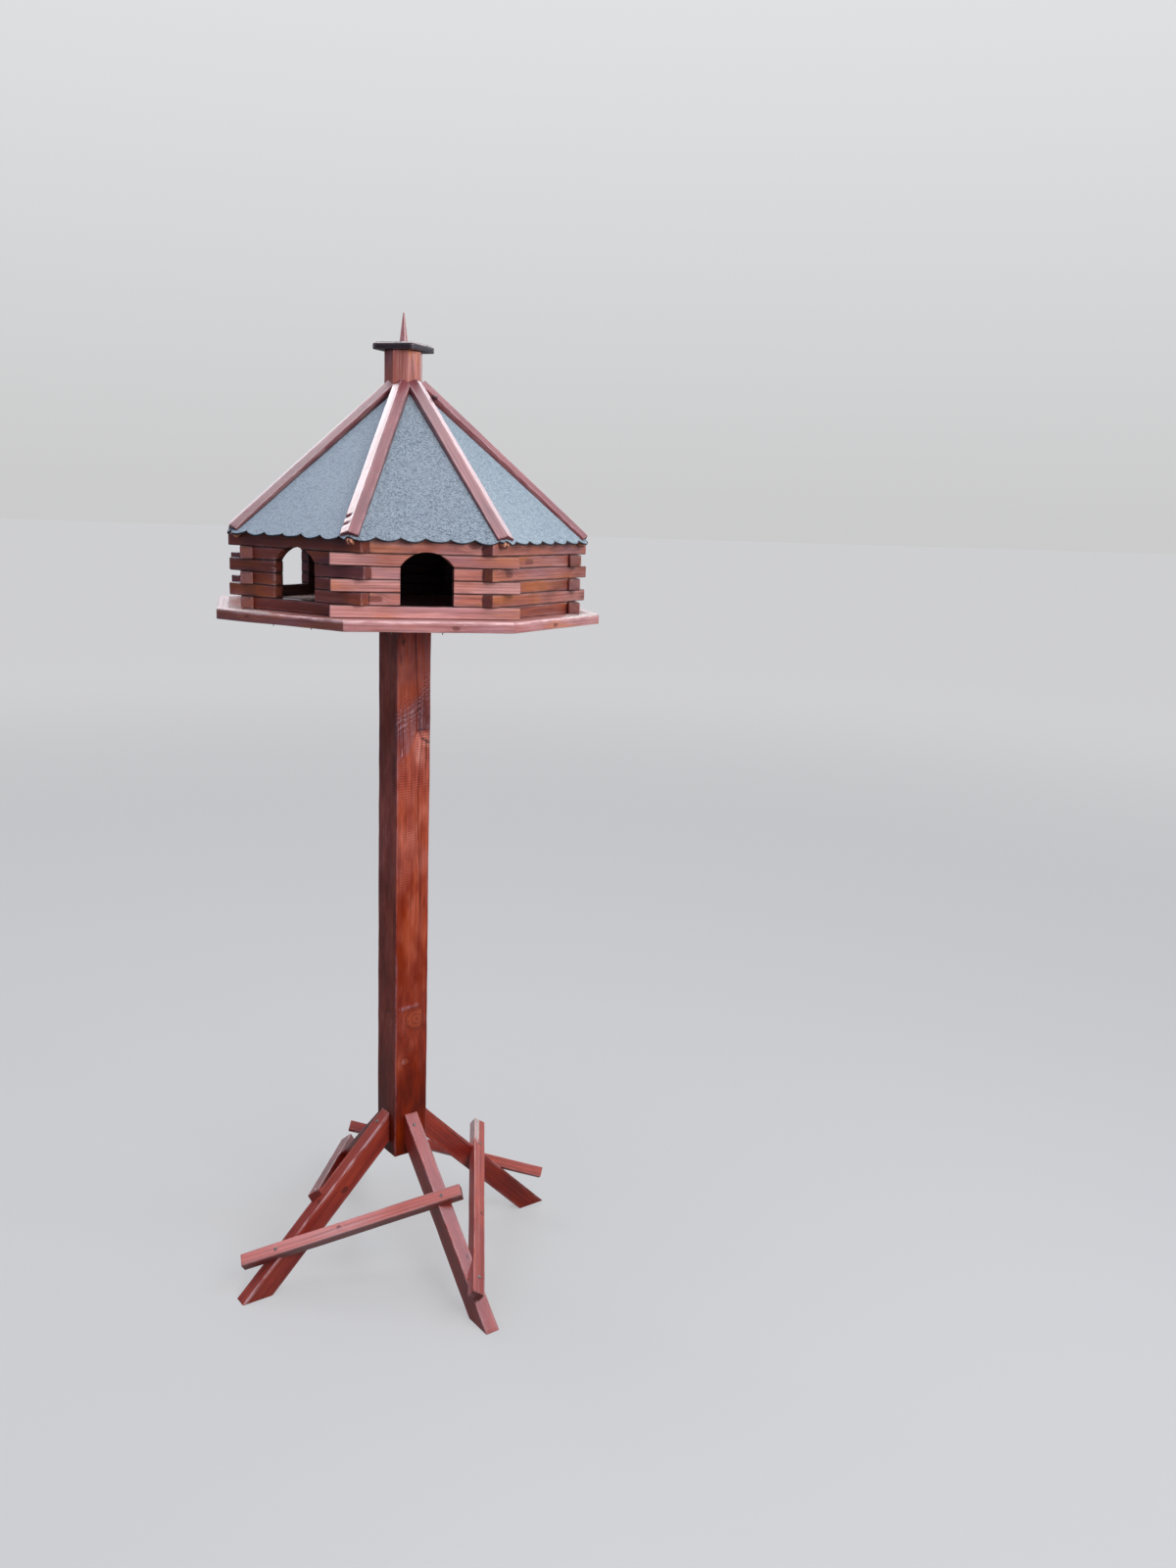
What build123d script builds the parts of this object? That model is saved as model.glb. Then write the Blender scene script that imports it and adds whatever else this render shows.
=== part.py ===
from build123d import *
import os
from math import atan, atan2, cos, radians, sin, sqrt, tan

# A bird house on a post: an eight-sided log house under a felted pyramid roof.
# Millimetres. The origin is on the ground under the post's axis, and the front wall faces -Y.

# Eight sides of the house, counted round from the front towards +X
SIDES = ["front", "front_right", "right", "back_right", "back", "back_left", "left", "front_left"]
OPEN_SIDES = ["front", "front_left", "left", "back_left"]
SIDE_COUNT = len(SIDES)
SIDE_STEP = 360 / SIDE_COUNT
HALF_STEP = SIDE_STEP / 2

# Post and stand
post_width = 70
post_foot_height = 222
post_length = 1055
post_turn = HALF_STEP
leg_width = 28
leg_depth = 43
leg_slope = 45
leg_top_height = 308
brace_width = 25
brace_thickness = 20
brace_seat_depth = 3
# How far each brace runs on past the legs that it crosses low and high
brace_front_left_low_end = 66
brace_front_left_high_end = 38
brace_front_right_low_end = 37
brace_front_right_high_end = 64
brace_back_right_low_end = 91
brace_back_right_high_end = 32
brace_back_left_low_end = 110
brace_back_left_high_end = -5
# The shares of the way down those legs come first
BRACES = {
    "front_left": (0.75, 0.41, brace_front_left_low_end, brace_front_left_high_end),
    "front_right": (0.78, 0.45, brace_front_right_low_end, brace_front_right_high_end),
    "back_right": (0.645, 0.41, brace_back_right_low_end, brace_back_right_high_end),
    "back_left": (0.72, 0.48, brace_back_left_low_end, brace_back_left_high_end),
}

# Floor
floor_across_flats = 660
floor_thickness = 18
rim_width = 20
rim_edge_radius = 5

# Log walls
wall_across_flats = 580
log_depth = 20
log_height = 20.6
ring_count = 6
straight_log_end = 33
diagonal_log_end = 27

# Arched openings
opening_width = 86
opening_jamb_height = 63
opening_arch_rise = 23
sill_rings = 1

# Roof
roof_slope = 42
eave_overhang = 9
roof_board_thickness = 10
felt_thickness = 3
felt_overhang = 4
scallop_pitch = 40
scallop_depth = 6
rib_width = 30
rib_height = 8
rib_side_height = 5
rib_setback = 7.5
cone_tip_drop = 1

# Chimney, its lid and the spike
chimney_across_flats = 63
chimney_height = 67
lid_width = 79
lid_thickness = 13
lid_bevel = 4
lid_turn = -36
# The chimney stands a little left of the roof's apex and isn't square with the walls
chimney_shift = -6
chimney_turn = 29
spike_width = 12
spike_height = 52
spike_tip_width = 2

# Heights and radii that follow
floor_bottom = post_foot_height + post_length
floor_top = floor_bottom + floor_thickness
wall_top = floor_top + ring_count * log_height
wall_apothem = wall_across_flats / 2
wall_inner = wall_apothem - log_depth
eave_apothem = wall_apothem + eave_overhang
board_rise = roof_board_thickness / cos(radians(roof_slope))
felt_rise = felt_thickness / cos(radians(roof_slope))
chimney_radius = chimney_across_flats / 2 / cos(radians(HALF_STEP))


def roof_height(apothem, lift=0.0):
    """Height of the roof boards' underside at a distance from the axis, raised by lift."""
    return wall_top + (wall_apothem - apothem) * tan(radians(roof_slope)) + lift


def turned(shape, angle):
    """The shape turned about the post's axis."""
    return Rot(0, 0, angle) * shape


def octagon(across_flats, turn=0.0):
    """A regular eight-sided sketch with a flat side to the front."""
    return Rot(0, 0, turn + HALF_STEP) * RegularPolygon(across_flats / 2, SIDE_COUNT, major_radius=False)


def prism(points, low, high):
    """An upright prism over a plan outline."""
    return Pos(0, 0, low) * extrude(make_face(Polyline(*points, close=True)), high - low)


def sector(half_angle, reach, low, high):
    """The upright wedge about the front direction, from the axis outwards."""
    side = reach * tan(radians(half_angle))
    return prism([(0, 0), (-side, -reach), (side, -reach)], low, high)


def post():
    """The square post, turned so that its faces carry the legs."""
    timber = Box(post_width, post_width, post_length, align=(Align.CENTER, Align.CENTER, Align.MIN))
    return turned(Pos(0, 0, post_foot_height) * timber, post_turn)


def leg():
    """The front leg: a lath on edge, cut plumb against the post and level on the ground."""
    slope = radians(leg_slope)
    head = -post_width / 2
    toe = head - leg_top_height / tan(slope)
    plumb_cut = leg_depth / cos(slope)
    level_cut = leg_depth / sin(slope)
    corners = [(head, leg_top_height), (toe, 0), (toe + level_cut, 0), (head, leg_top_height - plumb_cut)]
    side = make_face(Polyline(*corners, close=True))
    return extrude(Plane.YZ * side, leg_width / 2, both=True)


def leg_point(share, turn):
    """A point on the middle of a leg's outer face, a share of the way down it."""
    run = leg_top_height / tan(radians(leg_slope))
    reach = post_width / 2 + run * share
    return Vector(0, -reach, leg_top_height * (1 - share)).rotate(Axis.Z, turn)


def brace(low_share, high_share, low_overhang, high_overhang):
    """The lath that runs from low on the left leg to high on the front leg."""
    low = leg_point(low_share, -90)
    high = leg_point(high_share, 0)
    along = (high - low).normalized()
    face_out = leg_normal(-90) + leg_normal(0)
    face_out = (face_out - along * face_out.dot(along)).normalized()
    start = low - along * low_overhang
    length = (high - low).length + low_overhang + high_overhang
    plane = Plane(origin=start, x_dir=face_out, z_dir=along)
    lath = Box(brace_thickness, brace_width, length)
    return plane * Pos(brace_thickness / 2 - brace_seat_depth, 0, length / 2) * lath


def leg_normal(turn):
    """Outward direction of a leg's outer face."""
    slope = radians(leg_slope)
    return Vector(0, -sin(slope), cos(slope)).rotate(Axis.Z, turn)


def floor_panel():
    """The floor inside its rim."""
    inner = floor_across_flats - 2 * rim_width
    return Pos(0, 0, floor_bottom) * extrude(octagon(inner), floor_thickness)


def rim_strip():
    """The front strip of the floor's rim, with mitred ends and a rounded upper edge."""
    outer = floor_across_flats / 2
    inner = outer - rim_width
    grow = tan(radians(HALF_STEP))
    plan = [(-outer * grow, -outer), (outer * grow, -outer), (inner * grow, -inner), (-inner * grow, -inner)]
    strip = prism(plan, floor_bottom, floor_top)
    edge = strip.edges().filter_by(Axis.X).sort_by(Axis.Y)[:2].sort_by(Axis.Z)[-1]
    return fillet(edge, rim_edge_radius)


def opening():
    """The arched opening of the front wall, through the logs."""
    sill = floor_top + sill_rings * log_height
    half = opening_width / 2
    spring = sill + opening_jamb_height
    outline = Polyline((-half, spring), (-half, sill), (half, sill), (half, spring))
    arch = ThreePointArc((half, spring), (0, spring + opening_arch_rise), (-half, spring))
    face = make_face(Curve() + [outline, arch])
    return Pos(0, -wall_apothem, 0) * extrude(Plane.XZ * face, 2 * log_depth, both=True)


def front_log(ring, long, end):
    """A log of the front wall: a long one passes its corners by end, a short one butts on its neighbours."""
    low = floor_top + ring * log_height
    high = low + log_height
    if long:
        half = wall_apothem * tan(radians(HALF_STEP)) + end
        plan = [(-half, -wall_apothem), (half, -wall_apothem), (half, -wall_inner), (-half, -wall_inner)]
    else:
        turn = radians(SIDE_STEP)
        outer = (wall_inner - wall_apothem * cos(turn)) / sin(turn)
        inner = (wall_inner - wall_inner * cos(turn)) / sin(turn)
        plan = [(-outer, -wall_apothem), (outer, -wall_apothem), (inner, -wall_inner), (-inner, -wall_inner)]
    return prism(plan, low, high)


def felt_envelope():
    """Everything above the underside of the felt."""
    top = roof_height(0, board_rise)
    base = roof_height(2 * wall_apothem, board_rise)
    foot = octagon(4 * wall_apothem)
    tip = octagon(2 * cone_tip_drop / tan(radians(roof_slope)))
    cone = loft([Pos(0, 0, base) * foot, Pos(0, 0, top - cone_tip_drop) * tip])
    return Pos(0, 0, base) * extrude(foot, top - base) - cone


def wall(side, long):
    """The logs of one wall that run past the corners, or those that butt between their neighbours."""
    straight = side % 2 == 0
    rings = [r for r in range(ring_count) if (r % 2 == 0) == (straight == long)]
    end = straight_log_end if straight else diagonal_log_end
    logs = []
    for ring in rings:
        log = front_log(ring, long, end)
        if ring == ring_count - 1 and long:
            log = log - felt_envelope()
        if SIDES[side] in OPEN_SIDES:
            log = log - opening()
        logs += [turned(piece, side * SIDE_STEP) for piece in log.solids()]
    return Compound(children=logs)


def top_logs():
    """The uppermost long logs, whose ends run up through the roof boards."""
    log = front_log(ring_count - 1, True, diagonal_log_end) - felt_envelope()
    return [turned(log, n * SIDE_STEP) for n in range(1, SIDE_COUNT, 2)]


def chimney():
    """The eight-sided chimney, from the underside of the boards up."""
    low = roof_height(chimney_radius)
    plan = octagon(chimney_across_flats, chimney_turn)
    return Pos(chimney_shift, 0, low) * extrude(plan, chimney_top() - low)


def chimney_top():
    """Height of the chimney's upper end."""
    return roof_height(chimney_across_flats / 2, board_rise + felt_rise) + chimney_height


def roof_board():
    """The front roof board, mitred to its neighbours and cut round the chimney."""
    slope = radians(roof_slope)
    drop = roof_board_thickness * sin(slope)
    low = roof_height(eave_apothem)
    section = Polyline(
        (-eave_apothem, low), (-eave_apothem - drop, low + roof_board_thickness * cos(slope)),
        (0, roof_height(0, board_rise)), (0, roof_height(0)), close=True)
    slab = extrude(Plane.YZ * make_face(section), eave_apothem, both=True)
    reach = 2 * eave_apothem
    return slab & sector(HALF_STEP, reach, low - reach, low + reach)


def felt():
    """The front sheet of felt: a triangle with a scalloped lower edge."""
    slope = radians(roof_slope)
    eave = eave_apothem + roof_board_thickness * sin(slope) + felt_overhang * cos(slope)
    corner = (0, -eave, roof_height(eave, board_rise))
    plane = Plane(origin=corner, x_dir=(1, 0, 0), z_dir=(0, -sin(slope), cos(slope)))
    half = eave * tan(radians(HALF_STEP))
    length = eave / cos(slope)
    inset = scallop_depth
    edge_half = half * (1 - inset / length)
    lobes = max(1, round(2 * edge_half / scallop_pitch))
    pitch = 2 * edge_half / lobes
    arcs = []
    for n in range(lobes):
        left = -edge_half + n * pitch
        arcs.append(ThreePointArc((left, inset), (left + pitch / 2, 0), (left + pitch, inset)))
    sides = Polyline((edge_half, inset), (0, length), (-edge_half, inset))
    face = make_face(Curve() + arcs + [sides])
    return plane * extrude(face, felt_thickness)


def rib():
    """The roof-shaped batten over the hip to the right of the front panel."""
    slope = radians(roof_slope)
    hip_slope = atan(tan(slope) * cos(radians(HALF_STEP)))
    cos_bend = sin(slope) ** 2 * cos(radians(SIDE_STEP)) + cos(slope) ** 2
    fall = tan(atan2(sqrt(1 - cos_bend ** 2), cos_bend) / 2)
    lip = rib_width / 2
    foot = -lip * fall
    eave = eave_apothem + roof_board_thickness * sin(slope) + felt_overhang * cos(slope)
    radius = eave / cos(radians(HALF_STEP)) - rib_setback
    lift = board_rise + felt_rise
    start = Vector(0, -radius, roof_height(radius * cos(radians(HALF_STEP)), lift))
    plane = Plane(origin=start, x_dir=(-1, 0, 0), z_dir=(0, cos(hip_slope), sin(hip_slope)))
    shoulder = foot + rib_side_height
    outline = Polyline(
        (0, rib_height), (lip, shoulder), (lip, foot), (0, 0), (-lip, foot), (-lip, shoulder), close=True)
    batten = plane * extrude(make_face(outline), radius / cos(hip_slope))
    reach = 2 * radius
    batten = batten & sector(HALF_STEP, reach, floor_top, floor_top + reach)
    return turned(batten, HALF_STEP)


def lid():
    """The bevelled square lid on the chimney."""
    plate = Pos(0, 0, chimney_top()) * Box(
        lid_width, lid_width, lid_thickness, align=(Align.CENTER, Align.CENTER, Align.MIN))
    plate = chamfer(plate.faces().sort_by(Axis.Z)[-1].edges(), lid_bevel)
    return Pos(chimney_shift, 0, 0) * turned(plate, lid_turn)


def spike():
    """The tapered square spike on the lid."""
    low = chimney_top() + lid_thickness
    foot = Pos(0, 0, low) * Rectangle(spike_width, spike_width)
    tip = Pos(0, 0, low + spike_height) * Rectangle(spike_tip_width, spike_tip_width)
    return Pos(chimney_shift, 0, 0) * turned(loft([foot, tip]), lid_turn)


def stand():
    """The post with its four legs and four braces."""
    parts = {"post": post()}
    legs = {}
    for turn, name in zip((0, 90, 180, 270), ("front", "right", "back", "left")):
        legs[name] = turned(leg(), turn + post_turn)
        parts["leg_" + name] = legs[name]
    for turn, (name, crossing) in zip((0, 90, 180, 270), BRACES.items()):
        lath = turned(brace(*crossing), turn + post_turn)
        for other in legs.values():
            lath = lath - other
        parts["brace_" + name] = lath
    return parts


def house():
    """The floor and the log walls."""
    parts = {"floor_panel": floor_panel()}
    strips = [turned(rim_strip(), n * SIDE_STEP) for n in range(SIDE_COUNT)]
    parts["floor_rim_straight"] = Compound(children=strips[0::2])
    parts["floor_rim_diagonal"] = Compound(children=strips[1::2])
    for n, side in enumerate(SIDES):
        parts["wall_" + side + "_long_logs"] = wall(n, True)
        parts["wall_" + side + "_short_logs"] = wall(n, False)
    return parts


def roof():
    """The boards, felt and ribs, cut round the chimney, and the chimney with its lid and spike."""
    parts = {}
    stack = chimney()
    boards = [turned(roof_board(), n * SIDE_STEP) - stack for n in range(SIDE_COUNT)]
    for log in top_logs():
        boards = [board - log for board in boards]
    parts["roof_boards_straight"] = Compound(children=boards[0::2])
    parts["roof_boards_diagonal"] = Compound(children=boards[1::2])
    for n, side in enumerate(SIDES):
        parts["roof_felt_" + side] = turned(felt(), n * SIDE_STEP) - stack
    ribs = [turned(rib(), n * SIDE_STEP) - stack for n in range(SIDE_COUNT)]
    parts["roof_ribs_even"] = Compound(children=ribs[0::2])
    parts["roof_ribs_odd"] = Compound(children=ribs[1::2])
    parts["chimney"] = stack
    parts["chimney_lid"] = lid()
    parts["spike"] = spike()
    return parts


def build():
    """All the pieces, from the ground up."""
    return {**stand(), **house(), **roof()}


os.makedirs("parts", exist_ok=True)
for name, shape in build().items():
    export_step(shape, "parts/" + name + ".step")
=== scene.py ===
import math
from types import SimpleNamespace

import bpy
import numpy as np
from mathutils import Matrix


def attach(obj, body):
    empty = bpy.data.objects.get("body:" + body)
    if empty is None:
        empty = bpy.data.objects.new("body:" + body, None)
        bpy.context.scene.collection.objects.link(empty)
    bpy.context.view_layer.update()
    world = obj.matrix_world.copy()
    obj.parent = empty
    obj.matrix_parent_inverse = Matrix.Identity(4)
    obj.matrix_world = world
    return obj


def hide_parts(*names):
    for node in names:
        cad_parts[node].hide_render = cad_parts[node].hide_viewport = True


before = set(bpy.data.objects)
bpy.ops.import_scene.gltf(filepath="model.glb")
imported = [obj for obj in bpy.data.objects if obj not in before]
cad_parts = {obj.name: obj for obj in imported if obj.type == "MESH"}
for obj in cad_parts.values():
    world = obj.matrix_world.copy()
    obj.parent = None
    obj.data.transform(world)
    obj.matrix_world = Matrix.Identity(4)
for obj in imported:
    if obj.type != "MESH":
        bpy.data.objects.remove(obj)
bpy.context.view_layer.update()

# Metres. The origin is on the ground under the post's axis, and the front wall faces -Y.
SIDES = ["front", "front_right", "right", "back_right", "back", "back_left", "left", "front_left"]
OPEN_SIDES = ["front", "front_left", "left", "back_left"]
STEP = 45.0
HALF = 22.5
HALF_TAN = math.tan(math.radians(HALF))
UP = (0, 0, 1)
OUT_X = (1, 0, 0)
OUT_Y = (0, 1, 0)

# Post and stand
POST_WIDTH = 0.070
POST_FOOT = 0.222
POST_LENGTH = 1.055
LEG_WIDTH = 0.028
LEG_DEPTH = 0.043
LEG_SLOPE = math.radians(45)
LEG_TOP = 0.308
LEG_GAP = 0.0004
LEG_SCREW = 0.024
BRACE_WIDTH = 0.025
BRACE_THICKNESS = 0.020
BRACE_SEAT = 0.003
# How far from a brace's end its screw sits, where the end is short
SHORT_END = 0.016
# Each brace's shares of the way down two legs, low and high, and its overhang past each of them
BRACES = {
    "front_left": (0.75, 0.41, 0.066, 0.038),
    "front_right": (0.78, 0.45, 0.037, 0.064),
    "back_right": (0.645, 0.41, 0.091, 0.032),
    "back_left": (0.72, 0.48, 0.110, -0.005),
}

# Floor
FLOOR_APOTHEM = 0.330
FLOOR_THICKNESS = 0.018
RIM_WIDTH = 0.020
RIM_GAP = 0.0004
FLOOR_LOW = POST_FOOT + POST_LENGTH
FLOOR_TOP = FLOOR_LOW + FLOOR_THICKNESS
FLOOR_HALF = (FLOOR_TOP - FLOOR_LOW) / 2
FLOOR_BOARDS = 5

# Log walls
WALL = 0.290
LOG_DEPTH = 0.020
LOG_HEIGHT = 0.0206
RINGS = 6
STRAIGHT_END = 0.033
DIAGONAL_END = 0.027
WALL_INNER = WALL - LOG_DEPTH
WALL_TOP = FLOOR_TOP + RINGS * LOG_HEIGHT
DOOR_HALF = 0.043
SILL = FLOOR_TOP + LOG_HEIGHT
SPRING = SILL + 0.063
ARCH_RISE = 0.023
ARCH_RADIUS = (DOOR_HALF ** 2 + ARCH_RISE ** 2) / (2 * ARCH_RISE)
ARCH_CENTRE = SPRING + ARCH_RISE - ARCH_RADIUS

# Roof
SLOPE = math.radians(42)
EAVE = WALL + 0.009
BOARD = 0.010
FELT = 0.003
FELT_OVERHANG = 0.004
SCALLOP_PITCH = 0.040
SCALLOP_DEPTH = 0.008
RIB_WIDTH = 0.030
RIB_HEIGHT = 0.008
RIB_SIDE = 0.005
RIB_SETBACK = 0.0075
BOARD_RISE = BOARD / math.cos(SLOPE)
FELT_RISE = FELT / math.cos(SLOPE)
BOARD_EAVE = EAVE + BOARD * math.sin(SLOPE)
FELT_EAVE = BOARD_EAVE + FELT_OVERHANG * math.cos(SLOPE)

# Chimney, lid and spike
CHIMNEY_ACROSS = 0.063
CHIMNEY_HEIGHT = 0.067
CHIMNEY_SHIFT = -0.006
CHIMNEY_TURN = 29
LID_WIDTH = 0.079
LID_THICKNESS = 0.013
LID_BEVEL = 0.004
LID_TURN = -36
SPIKE_WIDTH = 0.012
SPIKE_HEIGHT = 0.052
SPIKE_TIP = 0.002

# Smooth noise over space, the same on every run
dice = np.random.default_rng(11)
VALUES = dice.uniform(-1, 1, 256)
ORDER = dice.permutation(256)


def lattice(x, y, z, seed):
    """Random values at the whole points of space."""
    return VALUES[ORDER[(ORDER[(ORDER[(x + seed) & 255] + y) & 255] + z) & 255]]


def noise(points, seed):
    """Smooth noise between -1 and 1 at an array of points."""
    whole = np.floor(points).astype(int)
    part = points - whole
    part = part * part * (3 - 2 * part)
    x, y, z = whole.T
    a, b, c = part.T
    total = np.zeros(len(points))
    for i, j, k in np.ndindex(2, 2, 2):
        weight = (a if i else 1 - a) * (b if j else 1 - b) * (c if k else 1 - c)
        total += weight * lattice(x + i, y + j, z + k, seed)
    return total


def field(seed, *columns):
    """Smooth noise at points given as three columns, of which some may be one number."""
    return noise(np.stack(np.broadcast_arrays(*columns), 1), seed)


def smooth(value, low, high):
    """A smooth step from 0 at low to 1 at high."""
    t = np.clip((value - low) / (high - low), 0, 1)
    return t * t * (3 - 2 * t)


def plateau(value, low, risen, falling, high):
    """A smooth rise from 0 to 1 between low and risen, and a smooth fall between falling and high."""
    return smooth(value, low, risen) * (1 - smooth(value, falling, high))


def gauss(value, centre, width):
    """A smooth hump of height 1 round a centre."""
    return np.exp(-((value - centre) / width) ** 2)


def spot(x, y, x_centre, x_width, y_centre, y_width):
    """A smooth oval hump of height 1."""
    return gauss(x, x_centre, x_width) * gauss(y, y_centre, y_width)


def wall_distance(points):
    """How far each point is from the axis, square to the wall that it lies towards."""
    angles = np.radians(range(0, 360, 45))
    return np.max([points[:, 0] * math.cos(a) + points[:, 1] * math.sin(a) for a in angles], 0)


def roof_height(apothem, lift=0.0):
    """Height of the roof boards' underside at a distance from the axis, raised by lift."""
    return WALL_TOP + (WALL - apothem) * math.tan(SLOPE) + lift


def chimney_top():
    """Height of the chimney's upper end."""
    return roof_height(CHIMNEY_ACROSS / 2, BOARD_RISE + FELT_RISE) + CHIMNEY_HEIGHT


def placing(x_dir, y_dir, z_dir, origin, turn=0.0):
    """A 4x4 matrix that lays a board's own axes in the house, then turns it about the post's axis."""
    place = np.eye(4)
    place[:3] = np.column_stack([x_dir, y_dir, z_dir, origin])
    a = math.radians(turn)
    spin = np.eye(4)
    spin[:2, :2] = [[math.cos(a), -math.sin(a)], [math.sin(a), math.cos(a)]]
    return spin @ place


def spun(vector, turn):
    """A vector turned about the post's axis, in degrees."""
    a = math.radians(turn)
    x, y, z = vector
    return np.array([x * math.cos(a) - y * math.sin(a), x * math.sin(a) + y * math.cos(a), z])


def unit(vector):
    """A vector's direction."""
    return np.asarray(vector, float) / np.linalg.norm(vector)


def around(count):
    """Each number of a ring with the next one."""
    return [(n, (n + 1) % count) for n in range(count)]


def tube(rings, count, first=0):
    """The faces between rings of points that follow one another."""
    return [(a + n, a + m, a + count + m, a + count + n)
            for a in range(first, first + (rings - 1) * count, count) for n, m in around(count)]


def flipped(faces):
    """The same faces, seen from their other side."""
    return [(face[0],) + face[:0:-1] for face in faces]


# The knot layer's value far from any knot, and the state of untouched wood
FAR = 9.0
CLEAN = (0.0, 0.0, 0.0)


class Batch:
    """The points, faces and finish values of one piece, gathered board by board."""

    def __init__(self):
        self.points = []
        self.faces = []
        self.layers = {"grain": [], "knot": [], "finish": [], "state": []}
        self.count = 0

    def add(self, points, faces, *layers):
        """One more board, with its grain, knot, finish and state at each point."""
        self.points.append(points)
        self.faces += [tuple(i + self.count for i in face) for face in faces]
        for kept, values in zip(self.layers.values(), layers):
            kept.append(values)
        self.count += len(points)

    def make(self, name, material, *nodes, slot="stained_wood"):
        """The finished piece, which stands for its CAD nodes."""
        mesh = bpy.data.meshes.new(name)
        mesh.from_pydata(np.concatenate(self.points).tolist(), [], self.faces)
        for layer, values in self.layers.items():
            attribute = mesh.attributes.new(layer, "FLOAT_VECTOR", "POINT")
            attribute.data.foreach_set("vector", np.concatenate(values).astype(np.float32).ravel())
        mesh.polygons.foreach_set("use_smooth", [True] * len(mesh.polygons))
        mesh.materials.append(material)
        mesh.update()
        piece = bpy.data.objects.new(name, mesh)
        bpy.context.scene.collection.objects.link(piece)
        normals = piece.modifiers.new("normals", "WEIGHTED_NORMAL")
        normals.keep_sharp = True
        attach(piece, "root")
        if nodes:
            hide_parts(*nodes)


def make_pair(batches, name, material, node, kinds=("straight", "diagonal")):
    """Two pieces of one kind, which stand for two nodes."""
    for batch, kind in zip(batches, kinds):
        batch.make(name + kind, material, node + kind)


# Boards

# Steps round each eased edge, and how strongly the first and last of them count as arris
ARC_STEPS = 3
ARC_EDGE = 0.45
# How far the easing varies, and its waves in a metre along the board and from point to point across it
UNEVEN = 0.6
WAVES_ALONG = 22
WAVES_ACROSS = 0.37
# How much the rows beside an end count as end grain and as arris
NEAR_END = 0.7
END_ARRIS = 0.8
# How far from a board the heart of its tree may lie
HEART_REACH = (0.025, 0.085)


def section(polygon, spacing, soft, rub_and_highlight):
    """A board's section as points A + B * radius, with normals, mitres, arris weights and side numbers.

    The polygon runs anticlockwise, side n goes from corner n to corner n + 1, and soft scales each
    corner's rounding. A mitre is a point's move when all the sides move outwards by one.
    """
    corners = np.asarray(polygon, float)
    edges = np.roll(corners, -1, 0) - corners
    lengths = np.linalg.norm(edges, axis=1)
    along = edges / lengths[:, None]
    out = np.stack([along[:, 1], -along[:, 0]], 1)
    bisectors = [unit(out[n - 1] + out[n]) for n in range(len(out))]
    mitres = [bisector / (bisector @ normal) for bisector, normal in zip(bisectors, out)]
    rows = []
    for n, following in around(len(corners)):
        before, after = out[n - 1], out[n]
        turn = math.acos(before @ after)
        for k in range(ARC_STEPS + 1):
            share = k / ARC_STEPS
            normal = (math.sin((1 - share) * turn) * before + math.sin(share * turn) * after) / math.sin(turn)
            weight = (1.0 if 0 < k < ARC_STEPS else ARC_EDGE) * rub_and_highlight[n]
            rows.append((corners[n], soft[n] * (normal - mitres[n]), normal, mitres[n], weight, -1))
        slides = [soft[n] * (after - mitres[n]), soft[following] * (after - mitres[following])]
        ends = [(corners[n], corners[following]), slides, (mitres[n], mitres[following])]
        steps = max(1, round(lengths[n] / spacing))
        for m in range(1, steps):
            place, slide, mitre = ((1 - m / steps) * a + m / steps * b for a, b in ends)
            rows.append((place, slide, after, mitre, 0.0, n))
    middles = (corners + np.roll(corners, -1, 0)) / 2
    return [np.array(column) for column in zip(*rows)] + [middles, along]


def rectangle(half_y, half_z):
    """Side 0 faces +y, side 1 +z, side 2 -y and side 3 -z."""
    return [(half_y, -half_z), (half_y, half_z), (-half_y, half_z), (-half_y, -half_z)]


def knot_at(rng, side, low, high, across, long_radius, radius):
    """A knot on one side of a board, at random between two distances along it and near its middle."""
    return side, rng.uniform(low, high), rng.uniform(-across, across), long_radius, radius


def knot_values(local, sides, middles, along, knots):
    """Where each point lies from the nearest knot on its side, in the knot's own radii."""
    layer = np.full((len(local), 3), FAR)
    best = np.full(len(local), FAR ** 2)
    for side, x, across, long_radius, radius in knots:
        v = (local[:, 1:] - middles[side]) @ along[side]
        near = np.stack([(local[:, 0] - x) / long_radius, (v - across) / radius], 1)
        reach = (near ** 2).sum(1)
        chosen = (sides == side) & (reach < best)
        best = np.where(chosen, reach, best)
        layer[chosen, :2] = near[chosen]
        layer[chosen, 2] = 0.0
    return layer


def board_end(value):
    """Where a board ends, as a function of the place in its section."""
    return value if callable(value) else lambda y, z: np.full(len(y), value)


def close_ends(local, ring, rows):
    """The faces of a closed board, and its points with those added in its two ends."""
    faces = tube(rows, ring)
    parts = [local]
    for rim, turned in ((0, True), (len(local) - ring, False)):
        inner = len(np.vstack(parts))
        row = local[rim:rim + ring]
        hub = row.mean(0)
        parts += [hub + (row - hub) * 0.5, hub]
        for n, m in around(ring):
            cap = [(rim + n, rim + m, inner + m, inner + n), (inner + n, inner + m, inner + ring)]
            faces += [face[::-1] for face in cap] if turned else cap
    return np.vstack(parts), faces


def board_rows(length, eases, corner, spacing):
    """A board's rows: the distance along it, how far each is drawn in, and how near it is to an end."""
    ease_a, ease_b = eases
    run = length - ease_a - ease_b
    count = max(2, round(run / spacing))
    rows = [(0.0, ease_a, 1.0), (corner * ease_a, corner * ease_a, NEAR_END)]
    rows += [(ease_a + run * n / count, 0.0, 0.0) for n in range(count + 1)]
    return rows + [(length - corner * ease_b, corner * ease_b, NEAR_END), (length, ease_b, 1.0)]


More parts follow.
